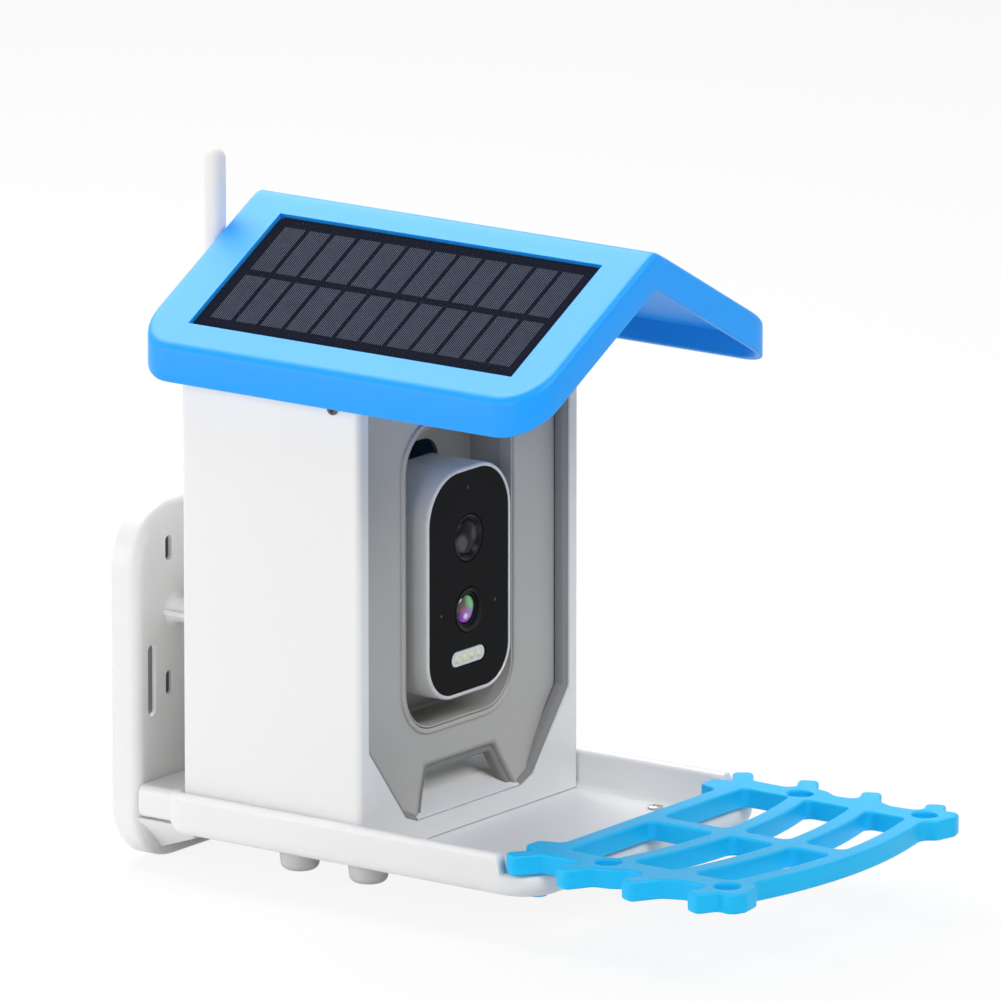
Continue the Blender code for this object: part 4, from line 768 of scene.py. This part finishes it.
# painted reflections of the lens coating, and one painted highlight
lensPaintedGlints = ((-0.0020, 0.0002, 0.0026, 0.0030, 0.8, (0.300, 0.040, 0.035)),
              (0.0022, -0.0020, 0.0036, 0.0036, 0.9, (0.050, 0.030, 0.330)),
              (-0.0016, -0.0034, 0.0036, 0.0034, 1.0, (0.420, 0.050, 0.560)),
              (0.0022, 0.0032, 0.0034, 0.0030, 1.0, (0.110, 0.480, 0.160)),
              (-0.0016, -0.0026, 0.0016, 0.0008, 1.0, (0.85, 0.70, 0.90)))
caseFront = frontY + cameraLook["front"]
windowFront = caseFront + cameraLook["windowStep"]
windowBack = windowFront + cameraLook["windowThick"]


def cameraOutline(inset=0.0):
    # seen from the front, the upper corners are rounder than the lower ones
    look = cameraLook
    half, low, high = look["half"] - inset, rimZ + look["low"] + inset, rimZ + look["high"] - inset
    foot, top = look["footCorner"] - inset, look["topCorner"] - inset
    return roundCorners([(-half, low, foot), (half, low, foot), (half, high, top), (-half, high, top)], 14)


def caseMesh():
    # a tub swept round the camera's front view: inner floor, inner wall, rim, outer wall, round back edge
    look = cameraLook
    seam, back, wall, ease = frontY + look["seam"], frontY + look["back"], look["wall"], look["backEase"]
    profile = [(-wall, back - wall), (-wall, seam), (0, seam)]
    return ringMesh(swept(cameraOutline(), profile + arcProfile(0, back - ease, -ease, back, "height", 4)))


def bezelMesh():
    # the ring round the window: its outer front edge is a quarter round
    look = cameraLook
    seam, soft, into = frontY + look["seam"], look["bezelRound"], -look["bezel"]
    profile = [(into, seam), (0, seam)] + arcProfile(0, caseFront + soft, -soft, caseFront, "height", 6)
    return ringMesh(swept(cameraOutline(), profile + [(into, caseFront + look["bezelStep"])]), "loop")


def lampOutline(grow):
    look = cameraLook
    half, tall, rise = look["lampHalf"] + grow, look["lampTall"] + grow, rimZ + look["lampRise"]
    return boxOutline(-half, half, rise - tall, rise + tall, tall * look["lampRound"])


def windowMesh():
    # the black face with round holes for both lenses and the pinholes, and a long one for the lamps
    look = cameraLook
    holes = [circleOutline(0, rimZ + look[lens + "Rise"], look[lens + "Radius"] + look["holeGap"], 64)
             for lens in ("motion", "lens")] + [lampOutline(look["holeGap"])]
    holes += [circleOutline(x, rimZ + rise, look["pinholeRadius"], 16) for x, rise in look["pinholes"]]
    return flatPlate([cameraOutline(look["bezel"] + look["windowGap"]), *holes], windowFront, windowBack, "Y",
                     look["windowEdge"], 2)


def turnedShape(shape, rise, x=0.0, around=72):
    # a turned shape at a height over the rim, its depths counted from the window's face
    return lathe([(radius, windowFront + depth) for radius, depth in shape], (x, 0, rimZ + rise), "Y", around)


blackGloss = Finish("blackWindowGloss", specular=0.03)
smear = blackGloss.noise(55.0, 3.0)
blackGloss.set(color=blackGloss.mixColors(smear, (0.0075, 0.0075, 0.0080), (0.0100, 0.0102, 0.0110)),
               roughness=smear * 0.06 + 0.07)
# the motion lens's pale patches are painted reflections
motionGloss = Finish("motionLensGloss", roughness=0.22, specular=0.08)
motionMiddle = (0, windowFront, rimZ + cameraLook["motionRise"])
fromMiddle = motionGloss.distance(motionMiddle)
motionColor = motionGloss.mixColors(fromMiddle.below(cameraLook["motionCore"], 0.0006),
                                    (0.012, 0.012, 0.013), (0.006, 0.006, 0.006))
motionGloss.set(color=motionGloss.paintedGlints(motionColor, motionMiddle, motionPaintedGlints))
motionGloss.bump(fromMiddle.folded(cameraLook["motionGroove"]), 0.3, 0.35)
# the case's white is painted greyer than the housing's: painted shade for its place in the pocket under the
# roof
shadedCameraWhite = moldedPlastic("shadedWhiteCameraPlastic", whitePlasticLook, color=(0.700, 0.695, 0.680),
                            colorAway=(0.680, 0.675, 0.660), roughness=0.34, grainDepth=0.00003)
plugPlastic = moldedPlastic("greyMicMesh", blackPlasticLook, color=(0.075, 0.075, 0.078),
                            colorAway=(0.055, 0.055, 0.058))
barrelPlastic = moldedPlastic("barrelBlack", blackPlasticLook, color=(0.007, 0.007, 0.007),
                              colorAway=(0.009, 0.009, 0.010), specular=0.14)
# the lens's coloured patches are painted reflections of its coating
lensCoatingWithPaintedGlints = Finish("lensCoatingWithPaintedGlints", roughness=0.06, specular=0.6, coat=0.6, coatRoughness=0.03)
lensCoatingWithPaintedGlints.set(color=lensCoatingWithPaintedGlints.paintedGlints((0.006, 0.006, 0.010), (0, frontY, rimZ + cameraLook["lensRise"]),
                                         lensPaintedGlints))
lampWhite = moldedPlastic("lampReflector", whitePlasticLook, color=(0.74, 0.74, 0.72),
                          colorAway=(0.70, 0.70, 0.68))
lampChip = Finish("lampPhosphor", roughness=0.25)
lampChip.set(color=lampChip.mixColors(lampChip.noise(900.0, 2.0), (0.72, 0.72, 0.42), (0.82, 0.80, 0.56)))

piece("cameraCase", [caseMesh()], shadedCameraWhite, "camera", ["camera_case"])
piece("cameraBezel", [bezelMesh()], shadedCameraWhite, "camera", ["camera_bezel"])
piece("cameraWindow", [windowMesh()], blackGloss, "camera", ["camera_window"], flats=True)
piece("pinholePlugs", [turnedShape(plugShape, rise, x, 16) for x, rise in cameraLook["pinholes"]],
      plugPlastic, "camera")
piece("motionLens", [turnedShape(motionShape, cameraLook["motionRise"])], motionGloss, "camera",
      ["motion_dome"], sharp=60)
piece("lensBarrel", [turnedShape(barrelShape, cameraLook["lensRise"])], barrelPlastic, "camera",
      ["lens_barrel"])
piece("lensGlass", [turnedShape(glassShape, cameraLook["lensRise"], 0, 64)], lensCoatingWithPaintedGlints, "camera",
      ["lens_glass"])
lampMesh = flatPlate([lampOutline(-cameraLook["windowGap"])], windowFront + cameraLook["lampSunk"],
                     windowBack, "Y", 0.0003, 2)
piece("lampReflector", [lampMesh], lampWhite, "camera", ["lamp_cover"], flats=True)
piece("lampBeads", [turnedShape(beadShape, cameraLook["lampRise"], x * cameraLook["lampPitch"], 24)
                    for x in (-1.5, -0.5, 0.5, 1.5)], lampChip, "camera")
print("camera made")


# Tray: a dish whose rim is rolled, and whose side walls step down for the perch

trayLook = {"cornerFront": 0.018, "cornerBack": 0.009, "back": -0.0295, "wall": 0.0057, "chamfer": 0.0064,
            "rimRound": 0.0024, "notchDrop": 0.0074, "notchEnd": 0.0186, "notchSoft": 0.0022, "floor": 0.0017,
            "cove": 0.0022, "holes": ((0.058, 0.0745, 0.0055, 32), (0.0625, 0.044, 0.0017, 16)),
            "deckHalf": 0.0710, "deckTop": 0.0015, "deckTall": 0.0132, "deckRound": 0.0035,
            "deckFoot": 0.0040, "deckStart": -0.0335, "deckEase": 0.0006, "around": 640}
trayLow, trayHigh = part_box("seed_tray")
deckHigh = trayHigh.z - trayLook["deckTop"]
deckLow = deckHigh - trayLook["deckTall"]


def trayPieces():
    # The wall is a profile swept round the plan. Its top falls by a smooth step where the plan comes
    # within the notch's reach of the front. The floor is a plate with the holes for pegs and screws, and
    # the deck is a round-edged box from the dish back to the wall plate.
    look = trayLook
    front, rear, back = look["cornerFront"], look["cornerBack"], look["back"]
    plan = roundCorners([(trayLow.x, trayLow.y, front), (trayHigh.x, trayLow.y, front),
                         (trayHigh.x, back, rear), (trayLow.x, back, rear)], 14)
    outline = evenly(plan, look["around"])
    turn = np.clip((outline[:, 1] - trayLow.y - look["notchEnd"]) / look["notchSoft"] + 1, 0, 1)
    top = trayHigh.z - look["notchDrop"] * (1 - turn * turn * (3 - 2 * turn)) - look["rimRound"]
    wall, soft, chamfer, inner = look["wall"], look["rimRound"], look["chamfer"], -look["wall"] - look["cove"]
    bottom, floor = trayLow.z, trayLow.z + look["floor"]
    lower = [(-chamfer, bottom)] + arcProfile(-chamfer, bottom, 0, bottom + chamfer, "growth", 5, 0.15)
    rim = arcProfile(0, 0, -soft, soft, "height") + arcProfile(soft - wall, soft, -wall, 0, "growth")
    cove = arcProfile(-wall, floor + look["cove"], inner, floor, "height") + [(inner, bottom)]
    normals = outwards(outline)
    rings = [*swept(outline, lower, "Z"), *swept(outline, cove, "Z")]
    rings[len(lower):len(lower)] = [onAxis(outline + normals * grow, top + up, "Z") for grow, up in rim]
    plate = flatPlate([outline + normals * inner, *holePairs(look["holes"])], bottom, floor, "Z", 0.0002, 1)
    half, foot, edge, ease = look["deckHalf"], look["deckFoot"], look["deckRound"], look["deckEase"]
    deck = roundCorners([(-half, deckLow, foot), (half, deckLow, foot), (half, deckHigh, edge),
                         (-half, deckHigh, edge)])
    reach = [(-ease, trayHigh.y), (0, trayHigh.y - ease), (0, look["deckStart"])]
    return [ringMesh(rings, "loop"), plate, ringMesh(swept(deck, reach))]


piece("seedTray", trayPieces(), whitePlastic, "house", ["seed_tray"], flats=True)

footLook = {"sole": 0.55, "bulge": 0.95, "rise": 0.0030, "top": 0.0006}
for end in ("front", "rear"):
    for word in ("left", "right"):
        low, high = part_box("foot_" + end + "_" + word)
        radius = (high.x - low.x) / 2
        sole, bulge = radius * footLook["sole"], radius * footLook["bulge"]
        shape = [(0, low.z), (sole, low.z)]
        shape += arcProfile(sole, low.z, bulge, low.z + footLook["rise"], "growth", 6, 0.2)
        shape += [(radius, high.z - footLook["top"]), (radius, high.z), (0, high.z)]
        piece("foot" + end.capitalize() + word.capitalize(),
              [lathe(shape, ((low.x + high.x) / 2, (low.y + high.y) / 2, 0), "Z", 48)], footRubber, "house",
              ["foot_" + end + "_" + word], sharp=60)


# Wall plate: a dished plate with slots, two pillars and the ledge under the tray

plateLook = {"front": -0.0125, "corner": 0.025, "edge": 0.0042, "skin": 0.0019, "rim": 0.0030,
             "rimEase": 0.0006, "rimDip": -0.0003, "web": 0.030, "webInset": 0.0018, "webRound": 0.001,
             "into": 0.0004, "pillar": 0.0049, "pillarX": 0.046, "pillarRise": 0.0644,
             "ribReach": 1.55, "ribRound": 0.0002, "ribNear": (0.001, 0.0010), "ribFar": (0.010, 0.0008),
             "ledgeTopHalf": 0.0700, "ledgeFootHalf": 0.0550, "ledgeFoot": 0.0050, "ledgeReach": 0.0230,
             "ledgeThick": 0.0035, "ledgeGap": 0.0003, "ledgeInto": 0.001,
             "ledgeRound": (0.0004, 0.0012, 0.0002),
             "ledgeEnds": ((-1, 0.02), (-0.994, 0), (0.994, 0), (1, 0.02)),
             "collarNear": 0.0010, "collarSkin": (0.0002, 0.0012),
             "slots": ((0.050, 0.0511, 0.0042, 0.0100, 0.0115), (0.050, -0.0030, 0.0042, 0.0100, 0.0115),
                       (0.061, 0, 0.0050, 0.0287, 0.0052))}
# the pillar's turned profile: (growth over its radius, way past the house's back or the plate's front)
pillarShape = (((-0.0049, 0.0003), (-0.0004, 0.0003), (0, 0.0007)),
               ((0, -0.0024), (0.0007, -0.0008), (0.0024, 0.0003), (-0.0049, 0.0003)))
plateLow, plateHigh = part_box("wall_plate")


def plateSlots():
    # On either side two short slots for screws and a long one for a strap, each with how far the tube wall
    # behind it reaches; the wall's dark colour is painted shade inside the slot.
    return [(boxOutline(side * x - width / 2, side * x + width / 2, z - length / 2, z + length / 2,
                        width * 0.499), deep)
            for side in (-1, 1) for x, z, width, length, deep in plateLook["slots"]]


def collarPieces():
    # a tube wall behind each slot: shallow for a strap, deep for a screw, dark as painted shade
    look = plateLook
    near, (slim, wide) = look["front"] + look["collarNear"], look["collarSkin"]
    return [ringMesh(swept(slot, [(slim, near), (slim, look["front"] + deep), (wide, look["front"] + deep),
                                  (wide, near)]), "loop") for slot, deep in plateSlots()]


def plateOutline(inset):
    return boxOutline(plateLow.x + inset, plateHigh.x - inset, plateLow.z + inset, plateHigh.z - inset,
                      plateLook["corner"] - inset, 16)


def platePieces():
    # the rim is a profile swept round the plate's outline, the front skin a slotted plate inside it, and
    # a web joins top and foot
    look = plateLook
    front, edge, rim, ease, into = look["front"], look["edge"], look["rim"], look["rimEase"], look["into"]
    skin = front + look["skin"]
    profile = [(-rim, look["rimDip"]), (into - rim, 0), (-ease, 0), (0, -ease)]
    profile += arcProfile(0, front + edge, -edge, front, "height", 7)
    profile += [(-edge, skin), (-rim - ease, skin), (-rim, skin + ease)]
    half, inset = look["web"] / 2, look["webInset"]
    web = boxOutline(-half, half, plateLow.z + inset, plateHigh.z - inset, look["webRound"], 3)
    slots = [slot for slot, deep in plateSlots()]
    pieces = [ringMesh(swept(plateOutline(0), profile), "loop"),
              flatPlate([plateOutline(edge), *slots], front, skin, "Y", 0.0001, 1),
              ringMesh(swept(web, [(0, skin - into), (0, -into), (-into, 0)]))]
    for side in (-1, 1):
        pieces += pillarPieces(side * look["pillarX"], rimZ + look["pillarRise"], look["pillar"])
    return pieces + [ledgeMesh()]


def pillarPieces(x, z, radius):
    # a turned bar from the house's back to the plate, with a flared foot and a thin rib on either side
    look = plateLook
    front, soft, (near, wide), (far, slim) = look["front"], look["ribRound"], look["ribNear"], look["ribFar"]
    shape = [(radius + grow, start + past) for start, end in zip((backY, front), pillarShape)
             for grow, past in end]
    rib = roundCorners([(front + near, z - wide, soft), (front + near, z + wide, soft),
                        (backY + far, z + slim, soft), (backY + far, z - slim, soft)], 2)
    ends = [sorted((x, x + side * radius * look["ribReach"])) for side in (-1, 1)]
    return [lathe(shape, (x, 0, z), "Y", 40),
            *(ringMesh(swept(rib, [(0, start), (0, end)], "X")) for start, end in ends)]


def ledgeMesh():
    # Rings of the ledge's side view from the left end to the right: low points stand nearer the middle,
    # by their share of the way down, so that both ends lean in towards the foot.
    look = plateLook
    gap, inside, (soft, lip, nook) = look["ledgeGap"], look["front"] + look["ledgeInto"], look["ledgeRound"]
    under, reach, step = trayLow.z - gap, look["front"] - look["ledgeReach"], trayLook["back"] + gap
    foot, top = plateLow.z + look["ledgeFoot"], deckLow - gap
    side = roundCorners([(inside, foot, soft), (reach, under - look["ledgeThick"], lip), (reach, under, soft),
                         (step, under, nook), (step, top, soft), (inside, top, soft)], 4)
    down = np.clip((top - side[:, 1]) / (top - foot), 0, 1)
    half = look["ledgeTopHalf"] + (look["ledgeFootHalf"] - look["ledgeTopHalf"]) * down
    middle = side.mean(0)
    return ringMesh([onAxis(middle + (side - middle) * (1 - ease), half * across, "X")
                     for across, ease in look["ledgeEnds"]])


# the collars' dark grey is painted shade seen through the slots
slotShadePlastic = moldedPlastic("slotCollarPaintedShadePlastic", shadedPanelLook, color=(0.200, 0.198, 0.195),
                              colorAway=(0.180, 0.178, 0.175))
piece("wallPlate", platePieces(), whitePlastic, "house", ["wall_plate"], flats=True)
piece("slotCollars", collarPieces(), slotShadePlastic, "house")
print("tray, feet and wall plate made")


# Antenna

bladeLook = {"rootTop": 0.126, "corner": 0.0034, "tipRound": 0.0034, "tipSlant": 0.28, "tipBelow": 0.0002,
             "tipStraight": 0.0040, "overlap": 0.0006, "edgeAngle": 42,
             "edges": {"socket": 0.0004, "knuckle": 0.0005, "blade": 0.0006}}


def packedAntenna(part):
    return solidCopy("antenna_" + part, bladeLook["edges"][part], 2, bladeLook["edgeAngle"])


def bladePieces():
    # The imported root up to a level, then a round-cornered bar whose tip is rounded and slants down
    # towards +X.
    look = bladeLook
    low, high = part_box("antenna_blade")
    root = packedAntenna("blade")
    with opened(root) as work:
        cut = bmesh.ops.bisect_plane(work, geom=[*work.verts, *work.edges, *work.faces], dist=1e-6,
                                     plane_co=(0, 0, look["rootTop"]), plane_no=(0, 0, 1), clear_outer=True)
        rim = [item for item in cut["geom_cut"] if isinstance(item, bmesh.types.BMEdge)]
        bmesh.ops.holes_fill(work, edges=rim)
    outline = boxOutline(low.x, high.x, low.y, high.y, look["corner"], 10)
    top, soft = high.z - look["tipBelow"], look["tipRound"]
    profile = [(0, look["rootTop"] - look["overlap"]), (0, top - look["tipStraight"] - soft)]
    rings = swept(outline, profile + arcProfile(0, top - soft, -soft, top, "height", 7), "Z")
    rings[len(profile):, :, 2] -= np.clip(rings[len(profile):, :, 0] - low.x, 0, None) * look["tipSlant"]
    return [root, ringMesh(rings)]


for name, meshes, body in (("socket", [packedAntenna("socket")], "house"),
                           ("knuckle", [packedAntenna("knuckle")], "aerial_knuckle"),
                           ("blade", bladePieces(), "aerial")):
    piece("antenna" + name.capitalize(), meshes, bladePaintedLightPlastic, body, ["antenna_" + name],
          flats=True)


# Perch: a lattice of bowed bars with thorns, cut from one rounded plate

perchLook = {"thick": 0.0080, "edge": 0.0011, "bar": 0.0082, "front": 0.1827, "frontHalf": 0.054,
             "bow": 0.0085, "innerHalf": 0.0580, "rib": 0.0080,
             "holes": ((0.0640, 0.1123, 0.0050, 32), (0.0660, 0.1697, 0.0050, 32)),
             "peg": (0.0580, 0.0745), "pegRadius": 0.0052, "pegEase": 0.0010, "pegInto": 0.0010,
             "barReach": (0.0856, 0.1236, 0.1523, 0.1786), "cellCorner": 0.0030}
# the right half of the outer edge as (x, reach from the front plane, corner radius), in millimetres
perchThorns = ((50.2, 81.5, 3.2), (53.6, 71.7, 2.4), (62.2, 71.7, 2.4), (64.6, 79.7, 1.4),
               (75.2, 71.7, 2.4), (79.8, 78.5, 2.4), (69.6, 86.1, 3.6), (69.2, 103.0, 5.0),
               (73.0, 103.9, 2.6), (81.0, 99.2, 2.4), (84.3, 106.8, 2.4), (74.2, 112.9, 2.6),
               (72.8, 119.5, 4.0), (69.2, 125.5, 4.0),
               (70.2, 135.1, 3.0), (80.6, 129.7, 2.4), (83.6, 137.1, 2.4), (72.6, 143.9, 3.2),
               (69.4, 151.5, 4.0), (70.4, 165.1, 3.2), (80.2, 160.3, 2.4), (83.3, 167.9, 2.4),
               (75.6, 172.1, 1.8), (76.6, 178.9, 4.4), (70.0, 181.7, 4.0), (60.4, 179.9, 4.0),
               (57.4, 175.8, 3.0))


def bowed(x, reach):
    # a bar's line: it bows forward in the middle, as the square of its place along the half
    share = np.minimum(np.abs(x) / perchLook["innerHalf"], 1)
    return frontY - reach + perchLook["bow"] * share ** 2


def perchOutline():
    # thorns down each side, joined in front by the bowed bar's outer edge
    right = np.array(perchThorns) * 0.001
    right[:, 1] = frontY - right[:, 1]
    x = np.linspace(perchLook["frontHalf"], -perchLook["frontHalf"], 41)
    front = np.stack([x, bowed(x, perchLook["front"]), np.zeros(len(x))], 1)
    return roundCorners(np.concatenate([right, front, right[::-1] * mirrored])[::-1], 6)


def perchCells():
    # the six gaps: a straight rear side in the first row, bowed sides elsewhere, and round corners
    look = perchLook
    cells = []
    x = np.linspace(look["rib"] / 2, look["innerHalf"], 17)
    corner = np.zeros(len(x))
    corner[[0, -1]] = look["cellCorner"]
    for row, (back, ahead) in enumerate(zip(look["barReach"], look["barReach"][1:])):
        rear = bowed(x, back + look["bar"] / 2) if row else np.full(len(x), frontY - back - look["bar"] / 2)
        path = np.concatenate([np.stack([x, rear, corner], 1),
                               np.stack([x, bowed(x, ahead - look["bar"] / 2), corner], 1)[::-1]])
        cells += [roundCorners(path, 6), roundCorners(path * mirrored, 6)]
    return cells


def perchPieces():
    # the lattice as one plate, and a turned peg under each rear corner
    look = perchLook
    low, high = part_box("perch")
    foot, end, radius, ease = high.z - look["thick"], low.z, look["pegRadius"], look["pegEase"]
    outlines = [perchOutline(), *perchCells(), *holePairs(look["holes"])]
    peg = [(0, end), (radius - ease, end), (radius, end + ease), (radius, foot + look["pegInto"]),
           (0, foot + look["pegInto"])]
    x, reach = look["peg"]
    return [flatPlate(outlines, foot, high.z, "Z", look["edge"], 3),
            *(lathe(peg, (side * x, frontY - reach, 0), "Z", 40) for side in (-1, 1))]


piece("perchLattice", perchPieces(), perchPlastic, "perch_lattice", ["perch"], flats=True)


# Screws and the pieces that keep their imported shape

def screwSteel(name, color, roughness, swing):
    steel = Finish(name, metallic=1.0, color=color)
    steel.set(roughness=steel.noise(700.0, 3.0) * swing + roughness)
    return steel


platedSteel = screwSteel("platedScrewSteel", (0.52, 0.52, 0.53), 0.22, 0.25)
pivotSteel = screwSteel("blackenedPivotSteel", (0.115, 0.113, 0.112), 0.30, 0.20)
crossLook = {"rings": 19, "around": 72, "flat": 0.55, "armHalf": 0.16, "armSoft": 0.05, "reach": 0.62,
             "reachSoft": 0.06, "deep": 0.7}
screwKinds = {"pivot": {"way": (1, 0, 0), "radius": 0.0024, "height": 0.0010, "shank": 0.0016,
                        "length": 0.0125, "steel": pivotSteel},
              "tray": {"way": (0, 0, 1), "radius": 0.0030, "height": 0.0012, "shank": 0.0014,
                       "length": 0.0045, "steel": platedSteel},
              "plate": {"way": (0, 1, 0), "radius": 0.0034, "height": 0.0022, "shank": 0.0015,
                        "length": 0.0318, "steel": platedSteel}}


def screwMesh(look):
    # A domed head with a cross recess: on a polar grid the height is a dome, less a cross-shaped pit
    # where the point lies within a slot's half-width of either arm.
    cross, radius, height = crossLook, look["radius"], look["height"]
    share = np.linspace(0, 1, cross["rings"])[:, None]
    turn = np.linspace(0, 2 * math.pi, cross["around"], endpoint=False)[None]
    u, v = share * radius * np.cos(turn), share * radius * np.sin(turn)
    dome = height * (cross["flat"] + (1 - cross["flat"]) * (1 - share ** 2)) + 0 * turn
    nearArm = np.minimum(np.abs(u), np.abs(v)) / radius
    pit = np.clip((cross["armHalf"] - nearArm) / cross["armSoft"], 0, 1) \
        * np.clip((cross["reach"] - share) / cross["reachSoft"], 0, 1)
    top = np.stack([u, v, dome - pit * height * cross["deep"]], -1)
    edge = np.stack([u[-1], v[-1]], -1)
    narrow = edge * look["shank"] / radius
    return ringMesh([*top, *(onAxis(ring, level, "Z")
                             for ring, level in ((edge, 0), (narrow, 0), (narrow, -look["length"])))])


for side, word in ((-1, "left"), (1, "right")):
    for kind, look in screwKinds.items():
        node = kind + "_screw_" + word
        low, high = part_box(node)
        way = Vector(look["way"]) * (side if kind == "pivot" else 1)
        foot = (low + high) / 2 + way * (abs((high - low).dot(way)) / 2 - look["height"])
        mesh = screwMesh(look)
        mesh.transform(Matrix.Translation(foot) @ way.to_track_quat("Z", "Y").to_matrix().to_4x4())
        piece(kind + "Screw" + word.capitalize(), [mesh], look["steel"], "house", [node],
              sharp=50)

boardGreen = moldedPlastic("boardSolderMask", blackPlasticLook, color=(0.012, 0.105, 0.040),
                           colorAway=(0.010, 0.085, 0.033), roughness=0.34)
packFilm = moldedPlastic("batteryFilm", blackPlasticLook, color=(0.030, 0.110, 0.300),
                         colorAway=(0.026, 0.095, 0.260), roughness=0.28)
packedFinishes = {"roof_ear_left": bluePlastic, "roof_ear_right": bluePlastic,
                  "solar_junction_box": blackPlastic, "main_board": boardGreen, "lamp_board": boardGreen,
                  "motion_sensor": platedSteel, "battery_pack": packFilm, "speaker": blackPlastic,
                  "power_button": shadedPanelPlastic, "port_cover": footRubber, "antenna_pin": platedSteel}
for node, finish in packedFinishes.items():
    nodes[node].data.materials.clear()
    nodes[node].data.materials.append(finish.material)
print("perch, screws and inner pieces made")


# Floor, light and camera

stageLook = {"floorZ": -0.0742, "floorSize": 6.0, "floorColor": (0.86, 0.86, 0.86), "floorGlow": 0.89,
             "worldLight": 0.15, "lampAim": (0, -0.12, 0.05)}
lamps = {"keyLeft": {"place": (-1.50, -0.20, 0.55), "size": 0.8, "power": 7.2},
         "topBack": {"place": (0.35, 0.80, 1.25), "size": 1.2, "power": 25.0},
         "frontHigh": {"place": (-0.10, -1.15, 1.10), "size": 0.8, "power": 12.0},
         "backLeft": {"place": (-1.20, 1.00, 0.25), "size": 0.8, "power": 7.5}}
cameraView = {"target": (0.02808, -0.11555, 0.0695), "azimuth": 53.74, "elevation": 13.63, "distance": 6.0,
              "lens": 554.2, "sensor": 36.0, "clip": (0.1, 50.0)}


def stageFloor():
    # a white floor that glows a little for the rays that see it and only reflects light for all others
    half, height = stageLook["floorSize"], stageLook["floorZ"]
    corners = [(x * half, y * half, height) for x, y in ((-1, -1), (1, -1), (1, 1), (-1, 1))]
    mesh = bpy.data.meshes.new("floor")
    mesh.from_pydata(corners, [], [(0, 1, 2, 3)])
    paper = Finish("floorPaper", roughness=0.9, specular=0.0, color=stageLook["floorColor"])
    paper.showing(paper.seenDirectly() * stageLook["floorGlow"], Signal(paper, paper.shader.outputs[0]),
                  paper.add("ShaderNodeEmission", None, {"Color": (1, 1, 1, 1), "Strength": 1.0}))
    mesh.materials.append(paper.material)
    placed("floor", mesh)


def stageWorld():
    # plain white where it is seen, and a faint light for everything else
    world = bpy.data.worlds.new("studio")
    bpy.context.scene.world = world
    world.use_nodes = True
    world.node_tree.nodes.remove(world.node_tree.nodes["Background"])
    graph = Graph(world.node_tree, "World Output")
    dim, white = (graph.add("ShaderNodeBackground", None, {"Color": (1, 1, 1, 1), "Strength": strength})
                  for strength in (stageLook["worldLight"], 1.0))
    graph.showing(graph.seenDirectly(), dim, white)


def stageLamp(name, look):
    data = bpy.data.lights.new(name, "AREA")
    data.size, data.energy = look["size"], look["power"]
    lamp = placed(name, data)
    lamp.location = look["place"]
    aim = Vector(stageLook["lampAim"]) - Vector(look["place"])
    lamp.rotation_euler = aim.to_track_quat("-Z", "Y").to_euler()


def stageCamera():
    look = cameraView
    turn, rise = math.radians(look["azimuth"]), math.radians(look["elevation"])
    back = Vector((-math.sin(turn) * math.cos(rise), -math.cos(turn) * math.cos(rise), math.sin(rise)))
    data = bpy.data.cameras.new("photoView")
    data.lens, data.sensor_width = look["lens"], look["sensor"]
    data.clip_start, data.clip_end = look["clip"]
    camera = placed("photoView", data)
    camera.location = Vector(look["target"]) + back * look["distance"]
    camera.rotation_euler = back.to_track_quat("Z", "Y").to_euler()
    bpy.context.scene.camera = camera


stageFloor()
stageWorld()
for name, look in lamps.items():
    stageLamp(name, look)
stageCamera()
bpy.context.scene.view_settings.view_transform = "Standard"
print("stage set")
